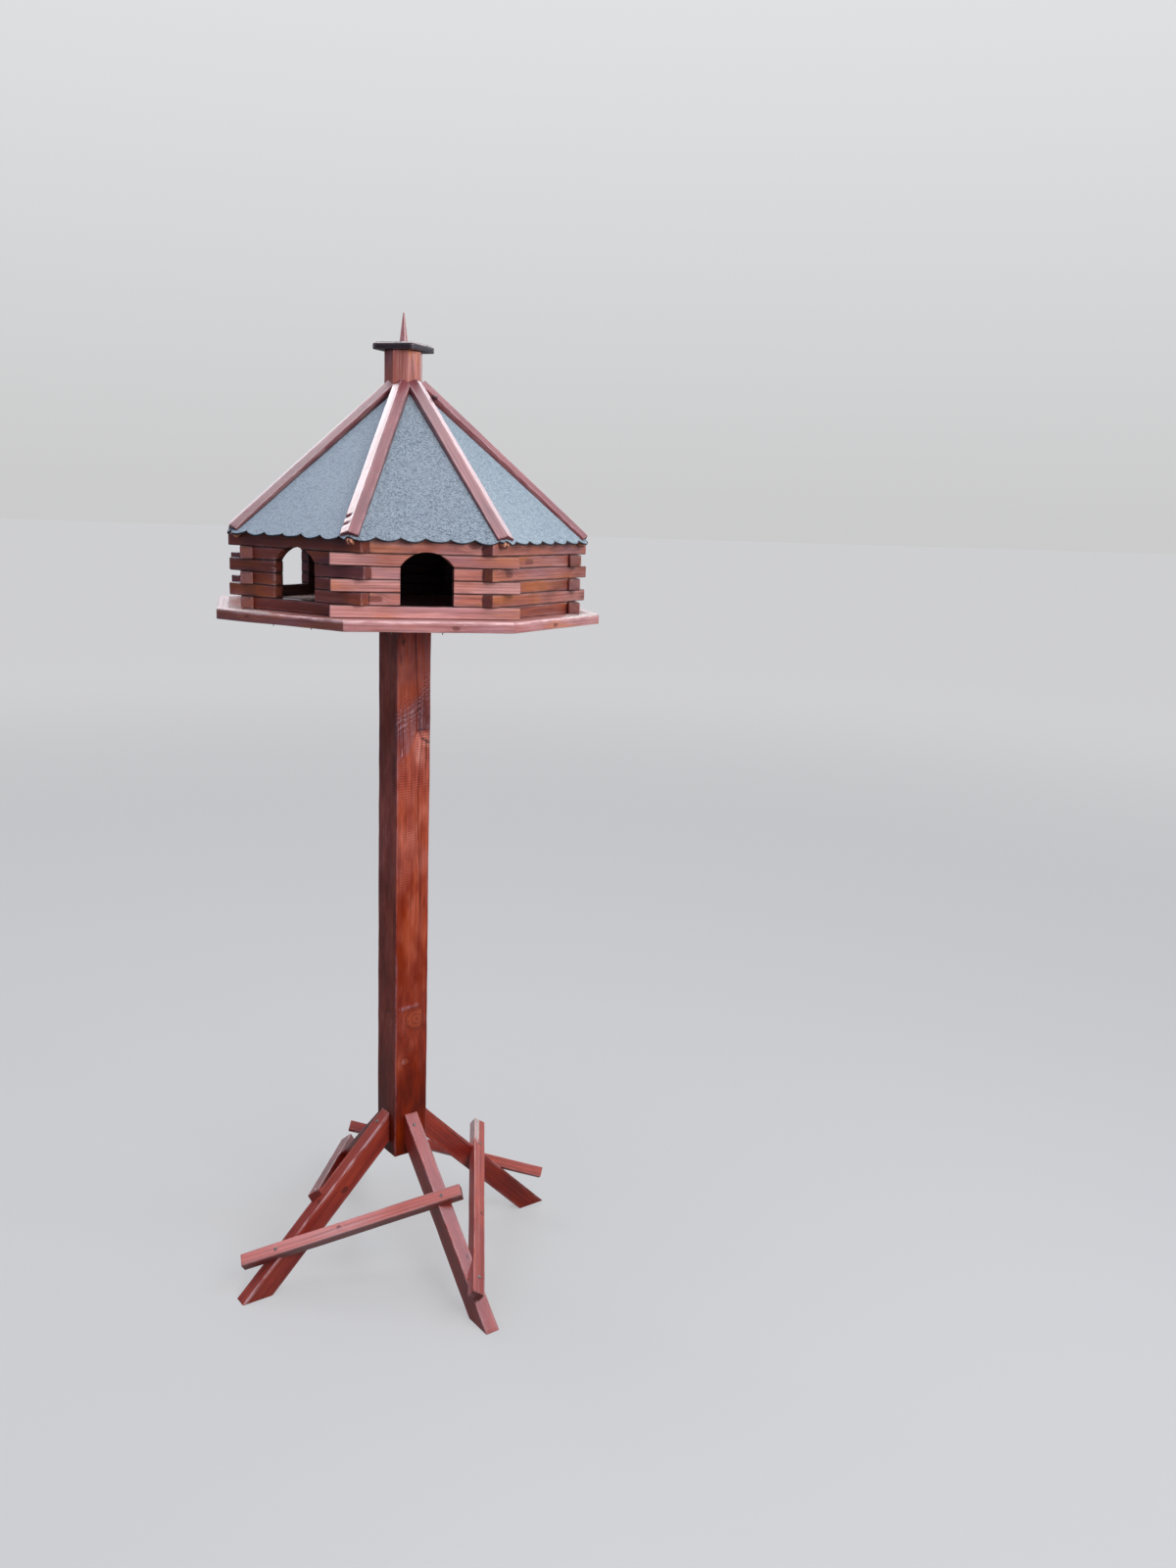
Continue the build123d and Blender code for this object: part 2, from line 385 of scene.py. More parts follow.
def beam(batch, place, polygon, start, end, seed, ease=0.0016, spacing=0.006, across=0.004, soft=None,
         rough=0.0003, tone=0.0, heart=None, knots=(), shape=None, state=CLEAN, swap=(0, 1, 2), ends=None,
         corner=0.3, rub_and_highlight=None):
    """One board along its own x axis, with eased edges, rough faces and closed ends."""
    start, end = board_end(start), board_end(end)
    even = [1.0] * len(polygon)
    a, b, normal, mitre, weight, side, middles, along = section(polygon, across, soft or even, rub_and_highlight or even)
    length = float((end(*a.T) - start(*a.T)).mean())
    ends = ends or (ease, ease)
    inward = normal if max(ends) < 1.5 * ease else mitre
    rows = board_rows(length, ends, corner, spacing)
    rng = np.random.default_rng(seed)
    shift = rng.uniform(0, 40, 3)
    if heart is None:
        angle = rng.uniform(0, 2 * math.pi)
        far = rng.uniform(*HEART_REACH)
        heart = (far * math.cos(angle), far * math.sin(angle))
    lane = np.arange(len(a)) * WAVES_ACROSS
    points, closing, arris = [], [], []
    for distance, inset, closed in rows:
        wander = field(seed % 97, distance * WAVES_ALONG + shift[0], weight + shift[1], lane + shift[2])
        flat = a + b * (ease * (1 + UNEVEN * wander))[:, None] - inward * inset
        share = distance / length
        points.append(np.column_stack([start(*flat.T) * (1 - share) + end(*flat.T) * share, flat]))
        closing.append(np.full(len(a), closed))
        arris.append(np.maximum(weight, END_ARRIS * (0 < closed < 1)))
    local = np.concatenate(points)
    normals = np.tile(normal, (len(rows), 1))
    wave = noise(local * (14, 60, 60) + shift, 3) + 0.5 * noise(local * (45, 140, 140) + shift, 5)
    local[:, 1:] += normals * (rough * wave)[:, None]
    sides = np.tile(side, len(rows))
    knot = knot_values(local, sides, middles, along, knots)
    if shape is not None:
        local = shape(local, sides, normals)
    local, faces = close_ends(local, len(a), len(rows))
    extra = len(local) - len(knot)
    grain = (local - np.array([0, *np.asarray(polygon, float).mean(0)]))[:, list(swap)]
    grain = grain + np.array([rng.uniform(0, 5), *heart])
    knot = np.vstack([knot, np.full((extra, 3), FAR)])
    world = local @ place[:3, :3].T + place[:3, 3]
    tones = tone(world, local) if callable(tone) else np.full(len(local), tone)
    finish = np.column_stack([np.concatenate(arris + [np.zeros(extra)]),
                              np.concatenate(closing + [np.ones(extra)]), tones])
    states = state(world, local) if callable(state) else np.tile(state, (len(local), 1))
    batch.add(world, faces, grain, knot, finish, states)


# Finishes


def srgb(r, g, b):
    """A colour given as it shows, in linear values."""
    values = [c / 255 for c in (r, g, b)]
    return tuple([c / 12.92 if c <= 0.04045 else ((c + 0.055) / 1.055) ** 2.4 for c in values] + [1.0])


def dimmed(colour, share):
    """A darker form of a colour."""
    return tuple(share * c for c in colour[:3]) + (1.0,)


class Graph:
    """The nodes of a material or of the world, made one call at a time."""

    def __init__(self, owner):
        owner.use_nodes = True
        self.owner = owner
        self.tree = owner.node_tree
        self.tree.nodes.clear()

    def add(self, kind, inputs, **props):
        """One node, with its inputs set or linked."""
        node = self.tree.nodes.new("ShaderNode" + kind)
        for key, value in props.items():
            setattr(node, key, value)
        for key, value in inputs.items():
            socket = node.inputs[key]
            if isinstance(value, bpy.types.NodeSocket):
                self.tree.links.new(value, socket)
            else:
                socket.default_value = value
        return node

    def math(self, operation, a, b=0.0, c=0.0):
        return self.add("Math", {0: a, 1: b, 2: c}, operation=operation).outputs[0]

    def mul(self, a, b):
        return self.math("MULTIPLY", a, b)

    def plus(self, a, b):
        return self.math("ADD", a, b)

    def line(self, value, slope, offset):
        """The value times the slope, plus the offset."""
        return self.math("MULTIPLY_ADD", value, slope, offset)

    def vector(self, operation, a, b=(0, 0, 0)):
        node = self.add("VectorMath", {0: a, 1: b}, operation=operation)
        return node.outputs["Value" if operation in ("LENGTH", "DOT_PRODUCT") else "Vector"]

    def scaled(self, a, amount):
        return self.add("VectorMath", {0: a, "Scale": amount}, operation="SCALE").outputs["Vector"]

    def mix(self, share, a, b):
        return self.add("Mix", {0: share, 6: a, 7: b}, data_type="RGBA").outputs[2]

    def painted(self, colour, layers):
        """A colour with others laid over it, each by its own share."""
        for share, other in layers:
            colour = self.mix(share, colour, other)
        return colour

    def step(self, value, low, high, to_low=0.0, to_high=1.0):
        """A smooth step between two values."""
        inputs = {"Value": value, "From Min": low, "From Max": high, "To Min": to_low, "To Max": to_high}
        return self.add("MapRange", inputs, interpolation_type="SMOOTHSTEP").outputs[0]

    def noise(self, vector, scale, detail, rough=0.5, output="Fac"):
        """Smooth noise, at one scale or at one for each axis."""
        if isinstance(scale, tuple):
            vector = self.vector("MULTIPLY", vector, scale)
            scale = 1.0
        inputs = {"Vector": vector, "Scale": scale, "Detail": detail, "Roughness": rough}
        return self.add("TexNoise", inputs).outputs[output]

    def drift(self, vector, scale, amount):
        """A small random move in all three directions."""
        moves = self.vector("SUBTRACT", self.noise(vector, scale, 2.0, output="Color"), (0.5, 0.5, 0.5))
        return self.scaled(moves, amount)

    def layer(self, name):
        return self.add("Attribute", {}, attribute_name=name).outputs["Vector"]

    def parts(self, vector):
        return self.add("SeparateXYZ", {0: vector}).outputs[:3]

    def surface(self, height, inputs):
        """The finished material, with its relief."""
        bump = self.add("Bump", {"Strength": 1.0, "Distance": 1.0, "Height": height})
        shader = self.add("BsdfPrincipled", {**inputs, "Normal": bump.outputs[0]})
        self.add("OutputMaterial", {"Surface": shader.outputs[0]})
        return self.owner


AMBER = srgb(206, 124, 70)
LAVENDER = srgb(150, 108, 120)
# Near-black for the state's shade share, which is mostly painted shade and sometimes dark stain
DARK_STAIN_AND_SHADE = (0.004, 0.003, 0.003, 1.0)
# Weathered wood: its darker and paler specks and its late wood
DRY = [srgb(168, 148, 142), srgb(224, 212, 202), srgb(128, 98, 82)]
RING_GAP = 0.0042
# How a wood looks where nothing else is said
PLAIN = {"ior": 1.45, "ring_share": 0.40, "band_share": 0.5, "arris": 0.5, "ripple": 0.00003,
         "ripple_share": 0.06, "knot_share": 0.8, "relief": 1.0, "dusk": None, "patchy": 0.0}


def add_patterns(g, w):
    """Year rings in three dimensions, knots, fibres and clouds."""
    w.grain = g.layer("grain")
    drift = g.drift(w.grain, (2.2, 16, 16), 0.009)
    bent = g.vector("ADD", w.grain, drift)
    w.knot = g.vector("LENGTH", g.vector("ADD", g.layer("knot"), g.drift(w.grain, 130.0, 0.5)))
    w.core = g.step(w.knot, 0.75, 1.15, 1.0, 0.0)
    w.swirl = g.math("SINE", g.mul(w.knot, 16.0))
    halo = g.math("EXPONENT", g.mul(g.mul(w.knot, w.knot), -0.35))
    rings = g.plus(g.vector("LENGTH", g.vector("MULTIPLY", bent, (0, 1, 1))), g.mul(halo, 0.009))
    rings = g.plus(g.math("DIVIDE", rings, RING_GAP), g.noise(w.grain, (4, 40, 40), 1.0))
    tooth = g.math("FRACT", rings)
    w.late = g.mul(g.step(tooth, 0.35, 0.92), g.step(tooth, 0.95, 1.0, 1.0, 0.0))
    w.fibre = g.noise(w.grain, (9, 420, 420), 5.0, 0.65)
    w.fine = g.noise(w.grain, (60, 1600, 1600), 2.0, 0.6)
    w.speck = g.noise(w.grain, 420.0, 3.0, 0.7)
    w.band = g.noise(bent, (3, 150, 150), 3.0, 0.6)
    w.cloud = g.noise(w.grain, (5, 17, 17), 4.0, 0.6)
    w.wave = g.math("SINE", g.parts(g.vector("ADD", g.scaled(w.grain, 1300.0), g.scaled(drift, 1700.0)))[0])
    w.waved = g.step(w.cloud, 0.40, 0.56)


def stained(g, w):
    """The colour of the stained grain."""
    depth = g.line(w.tone, -0.16, w.cloud)
    strength = g.plus(g.mul(w.late, w.ring_share), g.mul(g.step(w.fibre, 0.48, 0.72), 0.55))
    layers = [(g.math("MINIMUM", strength, 0.85), w.dark),
              (g.step(w.band, 0.50, 0.68, 0.0, w.band_share), w.dark),
              (g.step(w.fine, 0.36, 0.24, 0.0, 0.45), w.dark)]
    if w.patchy:
        stain = g.noise(w.grain, (7, 38, 38), 2.0)
        layers += [(g.step(stain, 0.52, 0.66, 0.0, w.patchy), AMBER),
                   (g.step(stain, 0.46, 0.32, 0.0, 0.8 * w.patchy), LAVENDER)]
    layers += [(g.mul(g.step(w.wave, -0.4, 0.9, 0.0, w.ripple_share), w.waved), w.dark),
               (g.step(depth, 0.60, 0.76, 0.0, 0.45), w.dusk)]
    colour = g.painted(g.mix(g.step(depth, 0.36, 0.66), w.light, w.mid), layers)
    tuned = {"Color": colour, "Value": g.line(w.tone, 0.32, 1.0), "Saturation": g.line(w.tone, -0.12, 1.0)}
    return g.add("HueSaturation", tuned).outputs[0]


def knotted(g, w, colour):
    """The colour with its knots and its darker end grain."""
    heartwood = g.mix(g.step(w.swirl, -0.2, 0.9, 0.0, 0.6), w.knotty, w.dark)
    rim = g.mul(g.step(w.knot, 0.85, 1.02), g.step(w.knot, 1.05, 1.3, 1.0, 0.0))
    return g.painted(colour, [(g.mul(w.core, w.knot_share), heartwood),
                              (g.mul(rim, 0.6 * w.knot_share), dimmed(w.dark, 0.45)),
                              (g.mul(w.end, 0.65), dimmed(w.dark, 0.7))])


def worn(g, w, colour):
    """The colour with its worn arrises and pale fibres, both also used for painted highlights, its weathered
    patches, and its dark places, most of them painted shade.
    """
    scuff = g.step(g.noise(w.grain, (28, 170, 170), 4.0, 0.65), 0.42, 0.62, 0.15 * w.arris, w.arris)
    patch = g.line(g.noise(w.grain, 55.0, 5.0, 0.62), 1.1, -0.55)
    w.weathered = g.step(g.plus(w.wear, patch), 0.38, 0.62)
    grey = g.mix(g.step(w.speck, 0.40, 0.60), DRY[0], DRY[1])
    grey = g.mix(g.mul(w.late, 0.35), grey, DRY[2])
    return g.painted(colour, [(g.math("MINIMUM", g.mul(w.edge, scuff), 1.0), w.bare),
                              (g.mul(w.weathered, 0.94), grey),
                              (g.mul(w.pale, g.step(w.fibre, 0.40, 0.62)), w.bare), (w.shade, DARK_STAIN_AND_SHADE)])


def wood_relief(g, w):
    """The height of fibres, ripples, rings, knots and weathered specks."""
    height = g.line(w.fibre, 0.00034 * w.relief, g.mul(w.wave, g.mul(w.waved, w.ripple)))
    for value, amount in ((w.late, -0.00012 * w.relief), (w.fine, 0.00010 * w.relief),
                          (g.mul(w.swirl, w.core), 0.00012), (g.mul(w.speck, w.weathered), 0.0003)):
        height = g.plus(height, g.mul(value, amount))
    return height


def wood(name, light, mid, dark, bare, knotty, rough, coat, **look):
    """Stained wood, with what its patterns and its look share kept in one place."""
    g = Graph(bpy.data.materials.new(name))
    w = SimpleNamespace(**{**PLAIN, **look})
    w.light, w.mid, w.dark, w.bare, w.knotty = (srgb(*colour) for colour in (light, mid, dark, bare, knotty))
    w.dusk = srgb(*w.dusk) if w.dusk else w.dark
    w.edge, w.end, w.tone = g.parts(g.layer("finish"))
    w.wear, w.shade, w.pale = g.parts(g.layer("state"))
    add_patterns(g, w)
    colour = worn(g, w, knotted(g, w, stained(g, w)))
    sheen = g.plus(g.line(w.fibre, 0.22, rough - 0.11), g.mul(w.weathered, 0.30))
    sheen = g.plus(sheen, g.mul(w.end, 0.18))
    return g.surface(wood_relief(g, w), {"Base Color": colour, "Roughness": sheen, "IOR": w.ior,
                                         "Coat Weight": coat, "Coat Roughness": 0.25, "Coat IOR": 1.5})


def felt_finish():
    """Mineral roofing felt: pale and dark granules over a grey-blue ground."""
    g = Graph(bpy.data.materials.new("felt_granules"))
    place = g.layer("grain")
    coarse = g.add("TexVoronoi", {"Vector": place, "Scale": 470.0}, feature="F1")
    fine = g.add("TexVoronoi", {"Vector": place, "Scale": 1250.0}, feature="F1")
    pick = g.parts(coarse.outputs["Color"])[0]
    pick_fine = g.parts(fine.outputs["Color"])[1]
    clump = g.noise(place, 420.0, 3.0, 0.6)
    cloud = g.noise(place, (9, 9, 9), 4.0, 0.6)
    shade, pale = g.parts(g.layer("state"))[1:]
    tone = g.parts(g.layer("finish"))[2]
    blend = g.plus(g.mul(pick, 0.62), g.mul(pick_fine, 0.28))
    blend = g.plus(blend, g.line(clump, 0.3, -0.10))
    colour = g.mix(g.step(blend, 0.15, 0.80), srgb(88, 99, 112), srgb(154, 166, 176))
    # The calm share silts the granules to one grey; on the front left and front right sheets it also stands
    # for painted sheen
    colour = g.painted(colour, [(g.step(pick_fine, 0.90, 0.96, 0.0, 0.6), srgb(214, 218, 222)),
                                (g.step(pick, 0.10, 0.04, 0.0, 0.6), srgb(52, 56, 66)),
                                (g.step(cloud, 0.40, 0.68, 0.0, 0.18), srgb(166, 170, 176)),
                                (pale, srgb(131, 143, 147))])
    colour = g.add("HueSaturation", {"Color": colour, "Value": g.plus(tone, 1.0)}).outputs[0]
    # The state's shade paints the hem's cut edge as a dark shadow line, and darkens the underside
    colour = g.mix(g.mul(shade, 0.95), colour, srgb(38, 36, 42))
    grit = g.math("SUBTRACT", 0.6, g.mul(coarse.outputs["Distance"], 0.7))
    height = g.mul(g.plus(grit, g.mul(clump, 0.6)), 0.0006)
    height = g.plus(height, g.mul(fine.outputs["Distance"], -0.00025))
    return g.surface(height, {"Base Color": colour, "Roughness": g.line(pick, 0.25, 0.66), "IOR": 1.25})


def metal_finish():
    """Zinc-plated screw and nail heads, a little dulled."""
    g = Graph(bpy.data.materials.new("plated_steel"))
    spots = g.noise(g.add("TexCoord", {}).outputs["Object"], 900.0, 3.0, 0.6)
    colour = g.mix(g.step(spots, 0.4, 0.65), srgb(158, 150, 146), srgb(92, 80, 74))
    inputs = {"Base Color": colour, "Roughness": g.line(spots, 0.35, 0.18), "Metallic": 1.0}
    return g.surface(g.mul(spots, 0.00008), inputs)


# Each wood's light, middle, dark, bare and knot colours, its roughness and the weight of its varnish; the
# bare colour also paints highlights on arrises and ridges
BARE_AND_HIGHLIGHT = (226, 184, 180)
LOG_WOOD = wood("log_wood", (214, 153, 146), (188, 110, 89), (108, 54, 48), BARE_AND_HIGHLIGHT, (120, 56, 40), 0.46, 0.35,
                arris=0.35, ring_share=0.32, band_share=0.32, dusk=(118, 70, 74), patchy=0.5)
POST_WOOD = wood("post_wood", (194, 92, 64), (164, 66, 48), (88, 34, 30), (196, 160, 170), (190, 92, 60),
                 0.42, 0.08, ior=1.32, ripple=0.00007, ripple_share=0.38, ring_share=0.16, band_share=0.3,
                 knot_share=0.45, relief=1.2)
STAND_WOOD = wood("stand_wood", (184, 68, 44), (150, 48, 36), (92, 30, 26), BARE_AND_HIGHLIGHT, (96, 32, 24), 0.36, 0.5,
                  ior=1.36, arris=0.6, band_share=0.35, ring_share=0.25, ripple_share=0.1)
RIB_WOOD = wood("rib_wood", (148, 76, 76), (126, 60, 64), (84, 38, 44), BARE_AND_HIGHLIGHT, (96, 38, 32), 0.34, 0.6,
                arris=0.45, band_share=0.25, ring_share=0.25)
RIM_WOOD = wood("rim_wood", (213, 162, 162), (186, 123, 119), (118, 64, 60), BARE_AND_HIGHLIGHT, (104, 46, 34), 0.42, 0.4,
                arris=0.8, ring_share=0.28, band_share=0.35, patchy=0.5)
BOARD_WOOD = wood("board_wood", (196, 130, 100), (160, 92, 70), (84, 42, 36), BARE_AND_HIGHLIGHT, (90, 44, 34), 0.6, 0.0)
FLOOR_WOOD = wood("floor_wood", (176, 92, 72), (148, 72, 58), (92, 42, 36), BARE_AND_HIGHLIGHT, (100, 46, 34), 0.6, 0.0)
LID_WOOD = wood("lid_wood", (46, 30, 38), (32, 22, 30), (18, 13, 18), (176, 160, 168), (36, 24, 28),
                0.42, 0.2, arris=0.7, ring_share=0.2)
FELT_FINISH = felt_finish()
METAL = metal_finish()

# Post

# The drying crack on the post's wide face: its heights, its place across the face and how far it gapes
CRACK_HEIGHTS = [0.222, 0.312, 0.406, 0.55, 0.658, 0.776, 0.853, 0.900, 0.966, 1.045, 1.09, 1.15, 1.24, 1.277]
CRACK_ACROSS = [0.024, 0.024, 0.023, 0.021, 0.0202, 0.0147, 0.0118, 0.0092, 0.0107, 0.016, 0.010, 0.0067,
                0.0018, 0.001]
CRACK_OPEN = [0.0, 0.5, 0.7, 0.0, 0.25, 0.8, 1.0, 0.9, 1.0, 0.9, 0.7, 0.9, 1.0, 0.8]
# The strip of the face that is drawn together into the crack, where it was, and the crack's depth
CRACK_WIDTH = 0.003
CRACK_COLUMN = 0.012
CRACK_DEPTH = 0.0045
# The rise of the wild grain's ridges across the post, their spacing and their band's half width
RIDGE_SLANT = 0.55
RIDGE_PITCH = 0.0085
GNARL_WIDTH = 0.024
# Each knot's side, height, place across, and half its height and width
POST_KNOTS = [
    (3, 0.502, 0.002, 0.020, 0.018), (3, 0.418, -0.0184, 0.008, 0.007),
    (3, 1.2314, -0.0224, 0.007, 0.004), (3, 0.83, -0.012, 0.004, 0.004), (2, 0.980, -0.0169, 0.004, 0.003),
    (2, 0.727, -0.019, 0.004, 0.003), (2, 0.50, 0.010, 0.017, 0.014), (1, 0.93, 0.012, 0.016, 0.013),
    (1, 0.61, -0.014, 0.010, 0.009), (0, 1.08, -0.006, 0.018, 0.014), (0, 0.70, 0.013, 0.012, 0.010),
    (0, 0.43, -0.012, 0.009, 0.008),
]
# How pale or dark the stain is up the post; the post is also darker towards its foot, and its darker top
# under the floor is painted shadow
TONE_HEIGHTS = [0.222, 0.40, 0.46, 0.52, 0.62, 0.75, 0.80, 0.95, 1.03, 1.06, 1.10, 1.15, 1.19, 1.24, 1.277]
POST_TONES_AND_END_SHADE = [-1.5, -0.6, -0.2, -0.5, -0.4, -0.25, 0.15, 0.35, 0.15, -0.35, -0.4, 0.05, 0.2, -0.5, -1.0]
# Swellings and hollows: how high, then the middle and width up the post and across it
POST_BUMPS = [
    (0.0016, 1.040, 0.024, 0.012, 0.011), (0.0014, 0.502, 0.017, 0.002, 0.018),
    (-0.0012, 1.21, 0.035, -0.027, 0.003), (-0.0025, 1.2314, 0.005, -0.0224, 0.003),
]


def gnarled(height, across):
    """The band of wild grain that rises across the post's wide face."""
    middle = np.interp(across, [-0.035, 0.005, 0.023, 0.035], [1.089, 1.097, 1.143, 1.150])
    return gauss(height, middle, GNARL_WIDTH)


def gnarl_ridges(x, y):
    """The slanting ridges of the wild grain."""
    slant = x - RIDGE_SLANT * y
    return np.sin(2 * math.pi * slant / RIDGE_PITCH + 4 * field(8, x * 70, y * 70, 0))


def knot_lip(x, y):
    """How far a point is above the sloping lip over the large knot."""
    return x - (0.5285 + 0.10 * (y + 0.007))


def post_tone(world, local):
    """Uneven stain round the knots; darker towards the foot, and darker at the top as painted shadow under
    the floor.
    """
    x, y, z = local.T
    wide = z < -0.03
    stain = 0.7 * noise(local * (22, 45, 45), 31) + 0.3 * noise(local * (60, 120, 120), 33)
    left = 0.35 * smooth(-y, 0.0, 0.03) * gauss(x, 1.05, 0.03) * wide
    bright = np.maximum(gauss(y, 0.0125, 0.0110) * smooth(x, 0.985, 1.02),
                        smooth(y, 0.004, 0.010) * smooth(x, 1.030, 1.040))
    bright = bright * (1 - smooth(x, 1.062, 1.069)) * wide
    return np.interp(x, TONE_HEIGHTS, POST_TONES_AND_END_SHADE) + 0.8 * stain - 1.6 * left + 1.5 * bright


def crack_shape(x, y, wide, sides):
    """The wide face's points drawn together at the drying crack: their new places across, and its depth."""
    limit = POST_WIDTH / 2 - 0.002
    columns = np.unique(np.round(y[sides == 3], 3))
    inner = columns[np.abs(columns - CRACK_COLUMN).argmin()]
    centre = np.interp(x, CRACK_HEIGHTS, CRACK_ACROSS) + 0.0006 * field(9, x * 60, 0, 0)
    opening = np.interp(x, CRACK_HEIGHTS, CRACK_OPEN) * (0.75 + 0.35 * field(4, x * 35, 3, 0))
    opening = np.clip(opening, 0, 1.2)
    half = 0.0004 + 0.0009 * opening
    left = -limit + (y + limit) / (inner - CRACK_WIDTH + limit) * (centre - half + limit)
    right = limit - (limit - y) / (limit - inner - CRACK_WIDTH) * (limit - centre - half)
    in_crack = wide & (y > inner - CRACK_WIDTH) & (y < inner + CRACK_WIDTH)
    moved = np.where(y < inner, left, right)
    moved = np.where(in_crack, centre + (y - inner) / CRACK_WIDTH * half, moved)
    moved = np.where(wide, moved, y)
    depth = CRACK_DEPTH * np.clip(opening * 1.2 - 0.1, 0, 1) * (1 - np.abs(moved - centre) / half)
    return np.where(wide & (np.abs(y) < limit), moved, y), np.where(in_crack, depth, 0)


def post_shape(local, sides, normals):
    """The post's drying crack, its gnarled patch, the lips of its knots and a worn arris."""
    x, y, z = local.T
    wide = (z < 0) & (np.abs(normals[:, 1]) > 0.9)
    y, depth = crack_shape(x, y, wide, sides)
    lip = knot_lip(x, y)
    tail = x - (0.4905 + 0.25 * (y + 0.036))
    bump = 0.0010 * gnarl_ridges(x, y) * gnarled(x, y)
    bump -= 0.0010 * gauss(x, 1.062, 0.010) * smooth(y, -0.01, 0.01)
    bump += 0.0005 * field(15, x * 260, y * 260, 0) * plateau(x, 1.03, 1.06, 1.14, 1.17)
    bump += 0.0013 * gauss(lip, 0, 0.0035) * plateau(y, -0.030, -0.018, 0.010, 0.018)
    bump -= 0.0009 * gauss(lip, -0.008, 0.004) * plateau(y, -0.024, -0.014, 0.014, 0.022)
    bump -= 0.0010 * gauss(tail, 0, 0.004) * (1 - smooth(y, -0.022, -0.012))
    for height, *oval in POST_BUMPS:
        bump += height * spot(x, y, *oval)
    return np.stack([x, y, z - np.where(sides == 3, bump, 0) + depth], 1)


def post_state(world, local):
    """Painted shade in the crack, checks, slits and hole, under the floor and between the gnarled ridges;
    painted highlights on the ridges and on the large knot's lip, over the silvery weathered patch.
    """
    x, y, z = local.T
    wide = z < -0.03
    centre = np.interp(x, CRACK_HEIGHTS, CRACK_ACROSS)
    crack_shade = smooth(z, -0.0345, -0.0325) * (z < -0.02) * (np.abs(y) < 0.033) * (np.abs(y - centre) < 0.004)
    torn = smooth(noise(local * (40, 260, 260), 12), -0.3, 0.5)
    check_shade = torn * gauss(y, -0.0275, 0.0055) * smooth(x, 1.165, 1.185) * wide
    hole_shade = spot(x, y, 1.2314, 0.006, -0.0224, 0.0035) * wide
    # Painted shadow under the floor
    under = 0.15 * smooth(x, 1.22, 1.277)
    ridges = gnarl_ridges(x, y)
    foot = np.interp(y, [-0.035, -0.008, 0.002, 0.035], [1.016, 1.026, 1.064, 1.068])
    dusky = smooth(x, foot - 0.006, foot + 0.006) * (1 - smooth(x - 0.9 * y, 1.105, 1.135)) * wide
    slit_shade = gauss(x - (1.052 - 0.53 * (y - 0.017)), 0, 0.0026) * smooth(y, 0.014, 0.018)
    slit_shade += 0.6 * plateau(x, 1.008, 1.014, 1.044, 1.048) * gauss(y, 0.0262, 0.0022)
    rim = gauss(np.hypot((x - 1.050) / 0.018, (y - 0.018) / 0.017), 1.0, 0.09) * smooth(x, 1.048, 1.056)
    shade = np.clip(crack_shade + 0.6 * check_shade + 0.8 * hole_shade + under, 0, 0.95)
    shade = np.clip(shade + (0.95 * slit_shade + 0.5 * rim) * wide + 0.22 * dusky, 0, 0.95)
    # Painted shade in the troughs between the gnarled ridges
    shade = np.clip(shade + 0.30 * gnarled(x, y) * smooth(-ridges, 0.1, 0.9) * wide, 0, 0.95)
    grit = noise(local * (330, 330, 330), 14)
    # Painted highlights on the gnarled ridges
    pale = 0.9 * gnarled(x, y) * smooth(ridges, 0.2, 0.8)
    pale += 0.9 * smooth(grit, 0.0, 0.5) * spot(x, y, 1.018, 0.010, -0.025, 0.008)
    pale += 0.22 * smooth(x, 1.14, 1.17) + 0.9 * spot(x, y, 0.418, 0.003, -0.0184, 0.003)
    # Painted highlight on the large knot's lip
    pale += 0.6 * gauss(knot_lip(x, y), 0, 0.003) * (np.abs(y + 0.006) < 0.02)
    pale = dusky * (0.42 + 0.25 * grit) + pale * wide
    return np.stack([0 * x, shade, np.clip(pale, 0, 1)], 1)


def make_post():
    """The square post, turned so that its faces carry the legs."""
    batch = Batch()
    half = POST_WIDTH / 2
    beam(batch, placing(UP, OUT_X, OUT_Y, (0, 0, 0), HALF), rectangle(half, half), POST_FOOT, FLOOR_LOW, 101,
         ease=0.002, spacing=0.0035, across=0.003, rough=0.0004, heart=(0.030, -0.055), knots=POST_KNOTS,
         tone=post_tone, rub_and_highlight=[0.6] * 4, shape=post_shape, state=post_state)
    batch.make("post_timber", POST_WOOD, "post")


# Stand


def leg_axes(turn):
    """A leg's own axes: down along it, across it and out of its outer face."""
    along = spun((0, -math.cos(LEG_SLOPE), -math.sin(LEG_SLOPE)), turn)
    out = spun((0, -math.sin(LEG_SLOPE), math.cos(LEG_SLOPE)), turn)
    return along, np.cross(out, along), out


def leg_point(share, turn):
    """A point on the middle of a leg's outer face, a share of the way down from its top."""
    reach = POST_WIDTH / 2 + LEG_TOP / math.tan(LEG_SLOPE) * share
    return spun((0, -reach, LEG_TOP * (1 - share)), turn)


def press_in(batch, point, normal, local, faces):
    """A fastener at a point, its own z axis along the normal."""
    normal = unit(normal)
    side = unit(np.cross(normal, (0.31, 0.87, 0.22)))
    world = np.asarray(point) + np.array(local) @ np.stack([side, np.cross(normal, side), normal])
    batch.add(world, faces, *[np.zeros((len(world), 3))] * 4)


# A screw's head as rings of share of the radius and height, and the half width of its cross slot
SCREW_RADIUS = 0.0034
SCREW_RINGS = [(0.22, 0.55), (0.45, 0.55), (0.62, 0.62), (0.82, 0.52), (1.0, 0.2), (1.04, -0.8)]
SLOT_HALF = 0.13
NAIL_RINGS = [(1.0, -0.3), (1.0, 0.55), (0.75, 0.9), (0.3, 1.0)]


